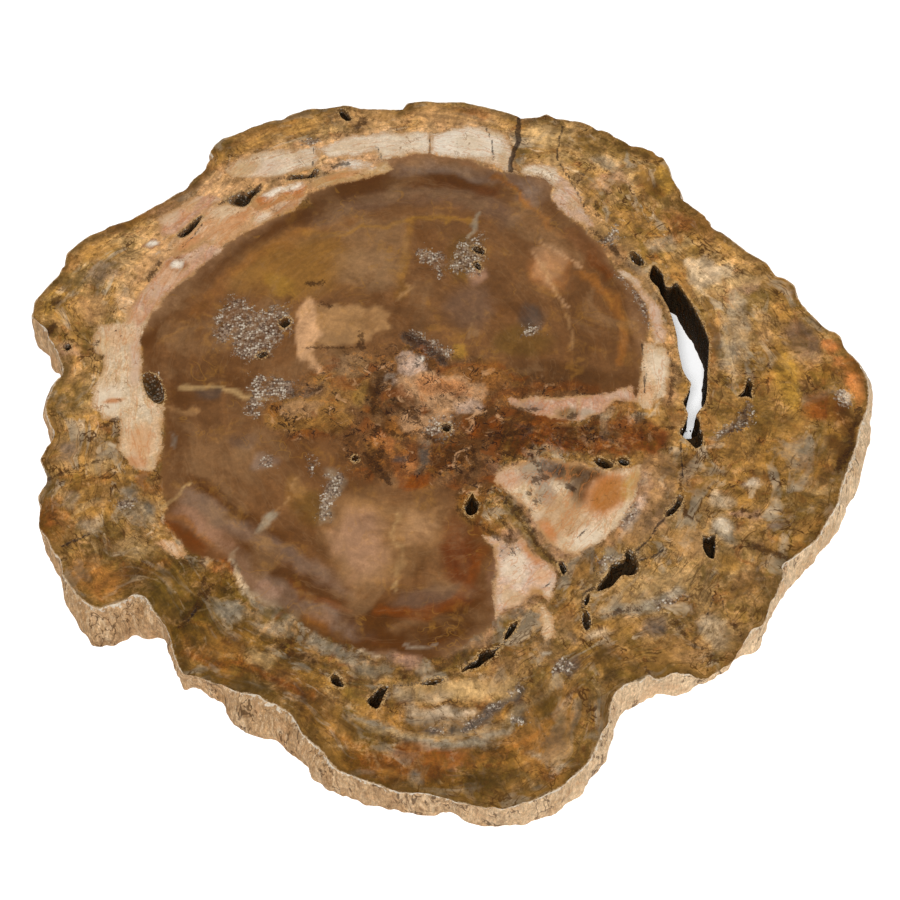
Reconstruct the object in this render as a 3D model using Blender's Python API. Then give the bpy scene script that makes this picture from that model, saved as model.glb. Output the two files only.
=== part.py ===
"""A polished slice of petrified wood, about 340 mm across and 21 mm thick, lying on its sawn underside.

The slice is one stone. Its rim wanders like the bark of the trunk that it was cut from, and its edge leans
outwards towards the underside. The polished face holds one long opening that goes right through, and a set
of smaller vugs and open cracks. Lengths below are in millimetres, seen from above, +X to the right and
+Y away from the viewer, and they are turned into metres when the meshes are made.
"""

import math

import bmesh
import bpy
import numpy as np

MM = 0.001
THICKNESS = 21.0
# Moves the drawing so that the middle of the finished outline's box is the origin.
CENTRE = (-0.992, -3.402)
RIM_STEPS = 420
EDGE_HEIGHTS = (0.0, 5.0, 10.5, 16.0, 19.6, THICKNESS)
# How far the foot of the edge stands out past the rim along the far side, where neither is read.
FAR_LEAN = 1.6
FLUTE_DEPTH = 0.6

COLOUR = (0.33, 0.19, 0.085, 1.0)
ROUGHNESS = 0.3

# The rim of the polished face and the foot of the edge below it, counter-clockwise from the east. A stretch
# without a foot of its own leans out by FAR_LEAN.
STRETCHES = {
    "east_bulge": (
        ((161.0, -1.0), (163.4, 4.0), (165.0, 9.0), (165.9, 14.0), (165.8, 20.0), (164.4, 26.0),
         (162.2, 29.6)),
        ((167.3, 0.5), (168.3, 6.5), (169.4, 12.0), (170.1, 17.0), (170.2, 22.0), (169.2, 28.0),
         (165.6, 33.0)),
    ),
    "east": (
        (
            (158.6, 36.0), (157.3, 40.3), (155.6, 42.4), (153.3, 43.0), (151.0, 45.5), (146.3, 51.5),
            (144.7, 54.3), (143.2, 56.2), (142.2, 60.5), (141.2, 65.0), (138.8, 67.7), (136.0, 69.6),
            (134.0, 70.5), (132.0, 74.0), (130.6, 76.6), (124.5, 81.0),
        ),
        None,
    ),
    "north_east": (
        (
            (119.3, 86.0), (114.7, 91.2), (111.8, 92.8), (109.8, 94.4), (109.2, 96.8), (107.8, 98.3),
            (107.1, 100.3), (102.3, 105.0), (100.8, 107.3), (98.8, 109.2), (98.0, 112.7), (95.0, 121.0),
            (93.8, 126.0), (92.7, 129.5), (91.6, 131.5), (89.8, 132.3), (85.4, 135.8), (79.0, 137.5),
            (72.3, 141.8), (70.7, 143.9), (64.5, 146.5), (59.0, 149.6), (55.0, 150.8), (48.0, 152.0),
            (45.2, 153.5), (43.0, 154.5), (39.0, 152.9), (32.5, 152.3),
        ),
        None,
    ),
    "north": (
        (
            (30.4, 153.6), (22.0, 156.8), (9.0, 160.7), (6.5, 161.3), (-3.0, 161.0), (-9.5, 161.8),
            (-16.6, 160.6), (-18.3, 158.6), (-20.5, 157.1), (-31.0, 157.4), (-37.0, 157.6), (-42.0, 159.3),
            (-47.0, 159.1), (-51.5, 158.2), (-60.0, 157.2), (-67.5, 153.9), (-70.5, 152.3), (-78.0, 150.4),
            (-86.0, 146.0), (-92.0, 142.4), (-95.6, 141.3), (-97.8, 139.4), (-99.2, 136.0), (-100.5, 133.3),
            (-99.0, 131.2),
        ),
        None,
    ),
    "north_west": (
        (
            (-100.6, 129.0), (-101.6, 126.0), (-102.8, 122.9), (-105.0, 121.0), (-107.5, 117.6),
            (-108.9, 115.3), (-117.5, 107.8), (-120.5, 106.0), (-128.0, 100.3), (-133.0, 97.3),
            (-141.5, 94.0), (-149.0, 88.6), (-155.0, 82.0), (-155.9, 78.0), (-156.4, 75.0), (-158.0, 70.0),
            (-160.0, 67.2), (-165.0, 59.5), (-166.3, 56.3), (-166.3, 53.0), (-166.8, 50.3), (-165.3, 48.0),
            (-162.5, 45.8), (-160.3, 43.0), (-158.8, 39.5), (-154.4, 32.8), (-153.5, 30.0), (-151.3, 24.5),
        ),
        None,
    ),
    "west_bulge": (
        ((-151.7, 22.0), (-153.6, 19.5), (-155.8, 12.0), (-156.6, 8.0), (-156.0, 4.5), (-152.7, -3.5)),
        ((-155.4, 22.2), (-159.4, 18.5), (-160.9, 14.3), (-159.7, 9.7), (-158.0, 6.0), (-155.4, -2.5)),
    ),
    "west": (
        (
            (-152.6, -7.5), (-154.2, -11.0), (-156.0, -16.0), (-155.3, -18.2), (-153.1, -22.5),
            (-152.8, -26.5), (-154.8, -31.2), (-155.0, -33.5), (-154.3, -37.0),
        ),
        (
            (-153.4, -7.0), (-154.6, -11.0), (-156.2, -16.0), (-155.6, -18.8), (-153.8, -22.5),
            (-153.4, -26.5), (-155.0, -31.0), (-155.4, -34.0), (-155.0, -37.5),
        ),
    ),
    "west_low": (
        (
            (-154.3, -43.5), (-153.3, -46.3), (-149.6, -50.6), (-148.3, -53.7), (-146.6, -56.5),
            (-144.4, -58.5), (-143.4, -61.0), (-142.9, -65.0), (-139.3, -69.8),
        ),
        (
            (-154.6, -42.5), (-153.8, -45.5), (-151.3, -50.0), (-149.0, -55.0), (-147.0, -59.5),
            (-145.5, -63.0), (-144.0, -67.0), (-142.5, -71.0),
        ),
    ),
    "south_west_lobe": (
        (
            (-137.0, -73.0), (-134.0, -76.0), (-131.0, -78.1), (-127.8, -79.5), (-124.5, -78.4),
            (-118.0, -76.0), (-116.0, -74.6), (-114.3, -73.8), (-112.3, -74.2), (-110.3, -75.5),
            (-107.3, -80.5), (-103.3, -86.5),
        ),
        (
            (-140.2, -75.4), (-137.0, -79.2), (-134.0, -83.0), (-131.0, -85.3), (-128.5, -84.9),
            (-125.5, -85.3), (-122.5, -84.0), (-120.0, -81.6), (-118.0, -80.4), (-115.5, -80.9),
            (-112.0, -82.0), (-108.2, -81.6), (-105.3, -82.6),
        ),
    ),
    "south_west_corner": (
        ((-100.6, -91.5), (-99.5, -95.5), (-96.3, -103.5), (-94.6, -106.0), (-91.5, -106.5)),
        ((-103.4, -87.5), (-102.0, -92.0), (-100.8, -96.0), (-99.0, -100.0), (-97.0, -102.7), (-94.8, -102.5),
         (-92.5, -102.3)),
    ),
    "south_west": (
        ((-88.5, -107.1), (-77.0, -111.9), (-68.5, -113.7), (-64.5, -115.8), (-56.5, -120.0)),
        (
            (-90.0, -103.0), (-86.0, -106.0), (-82.5, -108.7), (-80.0, -113.0), (-78.0, -116.3),
            (-75.5, -117.6), (-72.0, -120.4), (-68.0, -121.7), (-64.0, -123.0), (-59.5, -125.0),
        ),
    ),
    "south_west_step": (
        ((-54.0, -123.0), (-52.6, -126.0), (-50.5, -129.0), (-44.0, -134.6), (-41.7, -137.8),
         (-39.3, -141.0)),
        ((-56.0, -127.5), (-53.0, -131.0), (-50.5, -133.5), (-49.0, -136.5), (-47.4, -138.7), (-45.0, -139.8),
         (-42.0, -141.7)),
    ),
    "south": (
        ((-35.5, -143.3), (-26.0, -146.6), (-21.5, -148.2), (-18.0, -149.9), (-8.0, -151.1), (0.0, -153.2)),
        ((-39.0, -143.5), (-35.0, -145.2), (-30.0, -146.7), (-25.0, -147.7), (-20.0, -149.0), (-16.0, -150.2),
         (-10.0, -150.5), (0.0, -150.8)),
    ),
    "south_lobe": (
        (
            (5.0, -153.9), (10.0, -155.2), (15.0, -156.1), (20.0, -156.5), (24.5, -155.6), (31.0, -152.9),
            (38.5, -149.3), (41.5, -147.5), (44.0, -145.0), (49.5, -139.9), (51.3, -137.4), (52.7, -134.3),
            (55.7, -128.4), (57.5, -125.7), (58.4, -122.7), (58.7, -119.0), (60.2, -114.0),
        ),
        (
            (4.0, -151.5), (8.0, -153.3), (13.0, -154.8), (18.0, -155.8), (22.0, -155.8), (27.0, -154.5),
            (35.0, -152.0), (39.0, -150.3), (43.0, -147.5), (47.0, -144.5), (50.0, -141.5), (53.0, -138.0),
            (55.5, -135.0), (57.5, -131.0), (59.0, -127.0), (60.3, -123.0), (61.5, -119.0),
        ),
    ),
    "south_bay": (
        (
            (62.0, -111.5), (64.3, -109.7), (67.0, -108.6), (69.8, -108.5), (71.5, -107.2), (73.4, -105.7),
            (75.3, -107.4), (77.5, -107.7), (80.0, -106.0), (83.3, -104.9), (85.3, -105.8), (88.3, -105.8),
            (90.5, -107.3), (93.5, -107.8),
        ),
        (
            (63.0, -115.0), (65.0, -112.0), (68.0, -109.5), (71.0, -108.0), (74.0, -106.3), (78.0, -105.6),
            (82.0, -104.8), (86.0, -104.7), (89.0, -104.0), (91.0, -102.7), (94.0, -101.0),
        ),
    ),
    "south_east_corner": (
        ((96.5, -106.2), (102.5, -102.2), (107.0, -96.8), (110.3, -91.0), (112.5, -88.4)),
        ((97.0, -100.3), (101.0, -98.0), (104.0, -95.5), (107.0, -92.5), (110.0, -89.6), (115.0, -87.4)),
    ),
    "south_east_low": (
        (
            (115.5, -86.6), (117.3, -84.5), (119.2, -78.8), (120.8, -76.5), (123.6, -70.3), (124.6, -68.0),
            (125.8, -66.2), (125.5, -64.0),
        ),
        ((117.5, -85.0), (119.0, -81.0), (120.5, -78.0), (122.7, -74.5), (125.0, -70.0), (128.0, -65.3)),
    ),
    "south_east": (
        (
            (126.4, -61.2), (134.5, -54.8), (138.0, -52.0), (140.5, -49.2), (142.0, -46.0), (146.3, -39.6),
            (148.5, -36.0), (149.8, -32.3), (150.5, -28.6), (153.7, -21.8), (155.2, -17.8), (158.7, -9.0),
            (159.6, -5.0),
        ),
        (
            (130.5, -61.5), (134.0, -57.0), (138.0, -53.0), (142.0, -49.5), (146.0, -45.0), (149.5, -40.5),
            (152.0, -37.0), (154.0, -33.0), (156.0, -28.0), (158.0, -24.0), (160.5, -19.0), (163.0, -13.0),
            (165.0, -8.0), (166.4, -3.5),
        ),
    ),
}

# The opening that goes right through the slice.
OPENING = (
    (84.8, 75.3), (83.2, 72.3), (82.8, 69.0), (84.2, 66.3), (86.0, 64.0), (86.9, 60.5), (88.8, 56.0),
    (90.5, 50.5), (91.6, 45.0), (92.2, 40.0), (92.4, 34.0), (93.0, 28.0), (93.8, 24.0), (95.0, 21.0),
    (96.4, 18.2), (95.6, 15.0), (94.2, 12.0), (92.9, 9.8), (93.8, 6.5), (94.4, 3.8), (93.2, 0.4),
    (91.9, -2.8), (94.5, -3.6), (97.9, -3.4), (98.7, -0.8), (98.4, 1.6), (97.4, 3.4), (98.6, 5.4),
    (101.0, 8.6), (102.1, 12.0), (102.7, 17.0), (103.2, 23.0), (103.9, 29.0), (104.5, 34.0), (104.8, 38.0),
    (104.1, 42.0), (102.9, 46.5), (101.2, 51.0), (99.3, 55.5), (97.2, 60.0), (95.0, 64.4), (93.2, 66.6),
    (91.4, 64.4), (89.3, 64.6), (88.6, 67.3), (88.4, 70.3), (87.0, 73.0),
)

# Vugs in the polished face: outline, depth, and the floor's width as a share of the outline's.
VUGS = {
    "north_vug": (
        ((-46.6, 157.2), (-44.6, 157.6), (-42.4, 155.0), (-40.7, 151.6), (-42.6, 150.8), (-45.2, 152.8)),
        6.0, 0.5,
    ),
    "north_west_crack": (
        (
            (-67.0, 119.2), (-60.8, 119.6), (-56.4, 120.2), (-54.0, 121.8), (-53.8, 124.4), (-55.8, 124.8),
            (-57.6, 121.6), (-62.0, 121.6), (-66.2, 121.4),
        ),
        3.5, 0.5,
    ),
    "north_west_hollow": (
        (
            (-92.0, 108.6), (-89.0, 105.8), (-85.0, 104.9), (-82.4, 106.6), (-80.8, 110.2), (-77.6, 113.6),
            (-77.8, 117.2), (-80.4, 114.6), (-83.4, 112.4), (-86.2, 112.8), (-89.2, 110.8),
        ),
        3.0, 0.6,
    ),
    "west_slot": (
        ((-111.2, 90.2), (-109.4, 88.8), (-106.2, 91.0), (-102.8, 96.2), (-101.2, 100.4), (-103.4, 99.4),
         (-107.4, 94.4)),
        5.0, 0.5,
    ),
    "west_drusy_vug": (
        ((-119.8, 21.6), (-119.2, 17.8), (-117.4, 13.2), (-114.8, 10.0), (-111.6, 8.6), (-110.3, 10.8),
         (-110.9, 14.6), (-112.6, 19.0), (-115.0, 22.2), (-118.2, 23.2)),
        2.0, 0.75,
    ),
    "west_knot_vug": (
        ((-152.6, 35.4), (-150.8, 33.4), (-149.2, 35.0), (-150.2, 37.0), (-151.8, 37.0)),
        3.0, 0.5,
    ),
    "heart_vug_left": (
        ((-67.2, 46.6), (-65.0, 44.4), (-63.0, 46.0), (-62.8, 48.6), (-64.6, 49.4), (-66.2, 48.4)),
        3.0, 0.5,
    ),
    "heart_vug_low": (
        ((-75.4, 31.2), (-73.4, 30.2), (-70.8, 31.6), (-71.2, 33.0), (-73.6, 32.8)),
        3.0, 0.5,
    ),
    "heart_vug_top": (
        ((10.4, 83.2), (12.6, 81.6), (15.4, 80.6), (15.6, 82.8), (13.2, 84.4), (11.2, 84.8)),
        3.5, 0.5,
    ),
    "heart_vug_mid": (
        ((11.0, 75.8), (12.2, 73.8), (13.6, 72.6), (14.2, 74.6), (12.6, 77.0)),
        3.0, 0.5,
    ),
    "heart_eye": (
        ((-36.4, -16.0), (-35.2, -17.2), (-33.8, -16.4), (-34.0, -14.8), (-35.4, -14.4)),
        3.0, 0.5,
    ),
    "centre_vug": (
        ((-1.8, -2.0), (-0.4, -3.8), (1.6, -3.2), (1.8, -1.2), (0.2, -0.2), (-1.4, -0.6)),
        5.0, 0.5,
    ),
    "north_east_hollow": (
        ((75.2, 80.6), (75.8, 77.6), (78.4, 75.0), (80.8, 75.4), (80.6, 78.0), (78.2, 81.2), (76.2, 82.4)),
        3.0, 0.6,
    ),
    "east_vug": (
        (
            (114.2, 12.4), (116.0, 12.0), (118.0, 12.4), (120.0, 11.2), (119.8, 14.0), (120.5, 17.4),
            (120.0, 20.6), (118.8, 21.0), (118.3, 18.2), (117.2, 15.4), (115.6, 13.6),
        ),
        7.0, 0.6,
    ),
    "opening_step": (
        ((90.6, -4.8), (91.6, -1.8), (98.2, -2.2), (99.4, -5.0), (98.8, -9.6), (96.4, -11.2), (94.2, -8.6)),
        6.0, 0.7,
    ),
    "oval_vug_left": (
        ((56.6, -16.4), (58.2, -18.8), (61.0, -20.4), (63.6, -19.8), (64.0, -18.0), (61.6, -16.2),
         (58.8, -15.4)),
        6.0, 0.6,
    ),
    "oval_vug_right": (
        ((65.9, -16.6), (67.2, -18.6), (69.4, -19.0), (70.6, -17.6), (69.4, -15.8), (67.2, -15.5)),
        6.0, 0.6,
    ),
    "diamond_vug": (
        ((10.0, -30.8), (8.6, -33.6), (6.9, -36.6), (7.4, -39.2), (9.6, -40.9), (11.8, -38.8),
         (12.4, -35.4), (11.0, -33.2)),
        10.0, 0.5,
    ),
    "wedge_vug": (
        ((42.0, -60.2), (42.4, -62.6), (43.4, -65.4), (45.0, -64.2), (44.4, -61.4), (43.0, -59.6)),
        4.0, 0.5,
    ),
    "long_vug": (
        (
            (68.3, -54.4), (67.0, -56.4), (67.2, -58.8), (64.4, -60.0), (61.4, -61.6), (60.4, -64.4),
            (58.4, -67.2), (56.2, -70.2), (55.4, -72.2), (58.0, -71.8), (61.4, -70.4), (63.6, -67.8),
            (65.8, -65.6), (68.2, -66.0), (70.6, -65.0), (72.0, -62.0), (71.6, -59.0), (70.2, -56.0),
        ),
        8.0, 0.6,
    ),
    "square_vug": (
        ((96.8, -49.2), (96.3, -53.8), (97.3, -57.4), (100.0, -58.8), (101.0, -54.0), (101.0, -48.8),
         (99.0, -49.6)),
        8.0, 0.7,
    ),
    "hook_vug": (
        ((88.4, -31.6), (87.6, -34.4), (86.0, -36.8), (83.4, -39.0), (83.0, -41.2), (85.8, -40.2),
         (88.4, -37.2), (89.8, -34.4), (90.4, -32.2)),
        4.0, 0.5,
    ),
    "south_slit": (
        ((51.0, -77.6), (51.2, -75.2), (53.0, -73.0), (53.2, -75.2), (51.9, -78.0)),
        4.0, 0.5,
    ),
    "south_pocket": (
        ((50.2, -81.6), (50.0, -85.0), (51.4, -88.4), (53.2, -86.0), (52.8, -81.6), (51.4, -79.8)),
        3.0, 0.6,
    ),
    "south_vug_right": (
        ((26.4, -84.2), (23.6, -86.2), (22.2, -88.8), (21.2, -92.0), (23.0, -91.0), (25.2, -88.0)),
        6.0, 0.5,
    ),
    "south_vug_long": (
        (
            (20.2, -94.6), (17.4, -95.8), (14.6, -95.9), (12.2, -97.2), (11.4, -99.8), (8.8, -101.3),
            (6.4, -103.2), (5.8, -104.9), (8.6, -103.4), (11.8, -102.9), (14.8, -100.2), (17.8, -98.4),
            (18.2, -96.4),
        ),
        7.0, 0.6,
    ),
    "south_red_slit": (
        ((-9.2, -109.2), (-5.0, -107.6), (-0.6, -107.2), (-2.8, -109.2), (-6.2, -109.8)),
        3.0, 0.5,
    ),
    "south_lobe_vug": (
        ((-20.6, -110.2), (-23.6, -110.6), (-25.6, -113.0), (-28.2, -115.4), (-27.2, -117.4),
         (-24.6, -118.8), (-23.2, -116.4), (-21.8, -112.8)),
        8.0, 0.6,
    ),
    "south_west_vug": (
        ((-41.6, -106.2), (-40.2, -105.2), (-38.0, -107.6), (-36.6, -110.4), (-39.2, -110.2),
         (-41.2, -108.8)),
        5.0, 0.5,
    ),
}


def clear_scene():
    for obj in list(bpy.data.objects):
        bpy.data.objects.remove(obj, do_unlink=True)


def smooth_curve(knots):
    """Fine points of a smooth closed curve through the knots, twelve to each knot."""
    knots = np.asarray(knots, float)
    before = np.roll(knots, 1, axis=0)
    after = np.roll(knots, -1, axis=0)
    beyond = np.roll(knots, -2, axis=0)
    t = np.linspace(0.0, 1.0, 12, endpoint=False)[None, :, None]
    k0, k1, k2, k3 = (k[:, None, :] for k in (before, knots, after, beyond))
    pull = 0.42
    return (
        (2 * t**3 - 3 * t**2 + 1) * k1
        + (t**3 - 2 * t**2 + t) * pull * (k2 - k0)
        + (-2 * t**3 + 3 * t**2) * k2
        + (t**3 - t**2) * pull * (k3 - k1)
    ).reshape(-1, 2)


def spaced_points(knots, first_knots=(0,), steps=(100,)):
    """Points along the curve through the knots, evenly spaced from each first knot to the next one."""
    fine = smooth_curve(knots)
    fine = np.vstack([fine, fine[:1]])
    along = np.concatenate([[0.0], np.cumsum(np.linalg.norm(np.diff(fine, axis=0), axis=1))])
    starts = [along[12 * k] for k in first_knots] + [along[-1]]
    at = np.concatenate([np.linspace(a, b, n, endpoint=False) for a, b, n in zip(starts, starts[1:], steps)])
    return np.stack([np.interp(at, along, fine[:, 0]), np.interp(at, along, fine[:, 1])], axis=1)


def outward(curve):
    """The unit direction that points out of a counter-clockwise closed curve, at each of its points."""
    run = np.roll(curve, -1, axis=0) - np.roll(curve, 1, axis=0)
    run /= np.linalg.norm(run, axis=1, keepdims=True)
    return np.stack([run[:, 1], -run[:, 0]], axis=1)


def rim_and_foot():
    """The rim and the foot of the edge as two closed rows of points, the same number in each stretch."""
    rim_knots = np.array([knot for rim, _ in STRETCHES.values() for knot in rim])
    leaning = rim_knots + FAR_LEAN * outward(rim_knots)
    rim_firsts, foot_firsts, foot_knots = [], [], []
    first = 0
    for rim, foot in STRETCHES.values():
        rim_firsts.append(first)
        foot_firsts.append(len(foot_knots))
        foot_knots += list(leaning[first:first + len(rim)] if foot is None else foot)
        first += len(rim)
    ends = rim_firsts[1:] + [len(rim_knots)]
    hops = np.linalg.norm(np.roll(rim_knots, -1, axis=0) - rim_knots, axis=1)
    steps = [
        max(4, int(round(RIM_STEPS * hops[a:b].sum() / hops.sum()))) for a, b in zip(rim_firsts, ends)
    ]
    return (
        spaced_points(rim_knots, rim_firsts, steps),
        spaced_points(np.array(foot_knots), foot_firsts, steps),
    )


def edge_rings():
    """The outline at each height of the edge: it leaves the rim steeply for the foot, fluted on the way."""
    rim, foot = rim_and_foot()
    out = outward(0.5 * (rim + foot))
    turn = 2.0 * math.pi * np.arange(len(rim)) / len(rim)
    rings = []
    for z in EDGE_HEIGHTS:
        down = 1.0 - z / THICKNESS
        share = math.sin(0.5 * math.pi * min(1.0, 1.3 * down)) ** 0.8 if down > 0.0 else 0.0
        flutes = (
            0.5 * np.sin(53 * turn + 0.7 + 0.9 * down)
            + 0.35 * np.sin(89 * turn + 2.1 - 1.3 * down)
            + 0.25 * np.sin(131 * turn + 0.4)
            + 0.3 * np.sin(23 * turn + 1.7 + 2.0 * down)
        )[:, None]
        ring = rim * (1.0 - share) + foot * share + out * FLUTE_DEPTH * share * flutes
        rings.append([(x + CENTRE[0], y + CENTRE[1], z) for x, y in ring])
    return rings


def solid_from_rings(name, rings):
    """A closed mesh through the rings, from the lowest to the highest, with a flat face over each end."""
    bm = bmesh.new()
    rows = [[bm.verts.new([c * MM for c in point]) for point in ring] for ring in rings]
    count = len(rows[0])
    for lower, upper in zip(rows, rows[1:]):
        for i in range(count):
            j = (i + 1) % count
            bm.faces.new((lower[i], lower[j], upper[j], upper[i]))
    bm.faces.new(list(reversed(rows[0])))
    bm.faces.new(rows[-1])
    bmesh.ops.recalc_face_normals(bm, faces=bm.faces[:])
    mesh = bpy.data.meshes.new(name)
    bm.to_mesh(mesh)
    bm.free()
    return bpy.data.objects.new(name, mesh)


def outline_rings(outline, levels):
    """The outline at each (height, width share) of the levels, narrowed towards its own middle."""
    outline = np.asarray(outline, float)
    middle = outline.mean(axis=0)
    rings = []
    for z, share in levels:
        ring = middle + (outline - middle) * share
        rings.append([(x + CENTRE[0], y + CENTRE[1], z) for x, y in ring])
    return rings


def opening_cutter():
    """A straight-sided cutter for the opening, longer than the slice is thick."""
    outline = spaced_points(OPENING, steps=(2 * len(OPENING),))
    return solid_from_rings("cut_opening", outline_rings(outline, ((-2.0, 1.0), (THICKNESS + 2.0, 1.0))))


def vug_cutter(name, outline, depth, floor):
    """A cutter with steep sides that narrow towards a rounded floor."""
    if outline_area(outline) < 0.0:
        outline = outline[::-1]
    curve = spaced_points(outline, steps=(int(1.6 * len(outline)),))
    levels = (
        (THICKNESS - depth, 0.6 * floor),
        (THICKNESS - 0.8 * depth, floor),
        (THICKNESS - 0.35 * depth, 0.5 + 0.5 * floor),
        (THICKNESS, 1.0),
        (THICKNESS + 1.5, 1.0),
    )
    return solid_from_rings("cut_" + name, outline_rings(curve, levels))


def outline_area(outline):
    x, y = np.asarray(outline, float).T
    return 0.5 * float(np.sum(x * np.roll(y, -1) - y * np.roll(x, -1)))


def collection_named(name, hidden=False):
    collection = bpy.data.collections.new(name)
    bpy.context.scene.collection.children.link(collection)
    collection.hide_render = hidden
    return collection


def stone_material():
    material = bpy.data.materials.new("petrified_wood")
    material.use_nodes = True
    shader = material.node_tree.nodes["Principled BSDF"]
    shader.inputs["Base Color"].default_value = COLOUR
    shader.inputs["Roughness"].default_value = ROUGHNESS
    shader.inputs["Metallic"].default_value = 0.0
    return material


def main():
    clear_scene()
    slices = collection_named("petrified_wood_slice")
    cutters = collection_named("cutters", hidden=True)
    stone = solid_from_rings("wood_slice", edge_rings())
    stone.data.materials.append(stone_material())
    slices.objects.link(stone)
    tools = [opening_cutter()]
    tools += [vug_cutter(name, *vug) for name, vug in VUGS.items()]
    for tool in tools:
        cutters.objects.link(tool)
        tool.hide_render = True
        tool.display_type = "WIRE"
        cut = stone.modifiers.new(tool.name, "BOOLEAN")
        cut.operation = "DIFFERENCE"
        cut.solver = "EXACT"
        cut.object = tool


main()
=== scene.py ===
"""Dresses the petrified wood slice: one fine-grained stone with a polished face, a rough edge and a sawn
underside, the quartz in its vugs, and the floor, lights and camera.

Outlines and markings are in millimetres on the drawing of the polished face, +X to the right and +Y away
from the viewer. CENTRE moves the drawing into the frame, and MM turns it into metres.
"""

import math

import bpy
import numpy as np
from bpy.props import FloatProperty, FloatVectorProperty, IntProperty, PointerProperty
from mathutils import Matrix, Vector


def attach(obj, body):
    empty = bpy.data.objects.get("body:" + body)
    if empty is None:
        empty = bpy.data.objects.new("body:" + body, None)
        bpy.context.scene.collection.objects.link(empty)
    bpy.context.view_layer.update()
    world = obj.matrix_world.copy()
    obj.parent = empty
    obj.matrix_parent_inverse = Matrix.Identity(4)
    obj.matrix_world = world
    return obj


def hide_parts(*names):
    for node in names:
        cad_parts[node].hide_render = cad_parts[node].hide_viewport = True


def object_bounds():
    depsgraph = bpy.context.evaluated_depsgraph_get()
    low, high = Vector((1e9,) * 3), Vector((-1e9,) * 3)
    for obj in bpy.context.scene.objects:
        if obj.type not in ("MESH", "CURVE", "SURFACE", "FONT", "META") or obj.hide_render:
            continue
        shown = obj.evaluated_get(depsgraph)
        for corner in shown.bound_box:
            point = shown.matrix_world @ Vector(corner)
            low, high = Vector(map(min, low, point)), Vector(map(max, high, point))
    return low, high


bl_info = {
    "name": "Petrified Wood Slice",
    "version": (1, 0, 0),
    "blender": (4, 5, 0),
    "location": "View3D > Sidebar > Stone",
    "description": "Builds a polished slice of petrified wood with its agate heart, vugs and rough edge",
    "category": "Add Mesh",
}

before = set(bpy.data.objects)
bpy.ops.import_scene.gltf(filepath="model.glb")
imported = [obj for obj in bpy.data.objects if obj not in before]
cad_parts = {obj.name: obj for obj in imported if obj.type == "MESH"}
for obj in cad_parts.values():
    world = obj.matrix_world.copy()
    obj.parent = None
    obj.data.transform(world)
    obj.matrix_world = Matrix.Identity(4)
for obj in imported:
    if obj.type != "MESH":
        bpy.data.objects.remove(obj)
CAD_LOW, CAD_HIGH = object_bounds()

MM = 0.001
CENTRE = (-0.992, -3.402)
THICKNESS = round((CAD_HIGH.z - CAD_LOW.z) / MM, 3)
BOX_LOW = np.array(CAD_LOW[:2]) / MM - CENTRE + 0.02
BOX_HIGH = np.array(CAD_HIGH[:2]) / MM - CENTRE - 0.02

# A smooth curve has FINE points to each knot, and PULL says how round it goes there.
FINE = 12
PULL = 0.42

# The pith that the growth rings go round, and the half widths of the heart's ellipse.
PITH = (-18.0, 17.0)
HEART_RADII = (102.0, 117.0)

# What the gloss adds to a colour that is read off, and how bright the light makes plain white.
GLOSS_VEIL = 0.009
LIGHT_LEVEL = 1.1

# How far the foot of the edge stands out past the rim along the far side, and how deep the edge is fluted.
FAR_LEAN = 1.6
FLUTE_DEPTH = 0.6

# The flutes of the edge: share of the depth, number round the edge, phase, and drift from rim to foot.
FLUTES = ((0.5, 53, 0.7, 0.9), (0.35, 89, 2.1, -1.3), (0.25, 131, 0.4, 0.0), (0.3, 23, 1.7, 2.0))

# How far below the rim its chips reach.
CHIPPED_HEIGHT = 2.4

# Points round the opening and its heights, and the spacing of the points round a vug.
OPENING_STEPS = 230
OPENING_HEIGHTS = (-2.0, -0.2, 0.4, 3.0, 6.0, 9.0, 12.0, 15.0, 17.5, 19.5, 20.6, 21.3, THICKNESS + 2.0)
VUG_STEP = 0.75

# How far the boxes that cut the faces flat stand out past the slice, to the sides and up and down.
SLAB_MARGIN = 3.0
SLAB_DEPTH = 12.0

# A Boolean that leaves fewer faces than this has failed.
FEWEST_FACES = 100

# How near the opening or a vug a wall counts as theirs, and how near a level face lies to its plane.
PIT_MARGIN = 1.1
LEVEL_MARGIN = 0.02

# A wall steeper than this angle to its neighbour keeps a sharp edge, and a normal past this height is level.
SHARP_ANGLE = math.radians(38.0)
LEVEL_NORMAL = 0.9

# Vugs shallower than this have no crystals.
CRYSTAL_DEPTH = 2.5

# Lamps: name, place, size in metres, watts. The room's light comes from all sides.
LAMPS = (
    ("key_light", (-0.12, -0.72, 1.25), 0.4, 15.8),
    ("fill_light", (0.9, -0.3, 0.9), 0.9, 1.6),
    ("edge_light", (1.2, -0.45, 0.28), 1.1, 3.4),
)
ROOM_LIGHT = 0.44
FLOOR_HALF = 6.0
FLOOR_Z = -0.0002

# The point of the polished face that the camera looks at, on the drawing.
CAMERA_AIM = (1.5, -12.0)


def entries(table):
    """The entries of a drawn table, each split at its bar. An entry ends in a semicolon, and a line with #
    is a title."""
    rows = " ".join(line for line in table.splitlines() if "#" not in line)
    return [entry.split("|") for entry in rows.split(";") if entry.strip()]


def points_of(text):
    """The points of a line or an outline that is written as x y, x y and so on."""
    return tuple(tuple(float(part) for part in pair.split()) for pair in text.split(",") if pair.strip())


def shapes_of(table):
    """For each entry of a drawn table its points, then the numbers and colour names after its bar."""
    shapes = []
    for points, *rest in entries(table):
        words = " ".join(rest).split()
        values = [word if word[0].isalpha() else float(word) for word in words]
        shapes.append((points_of(points), *values))
    return shapes


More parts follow.
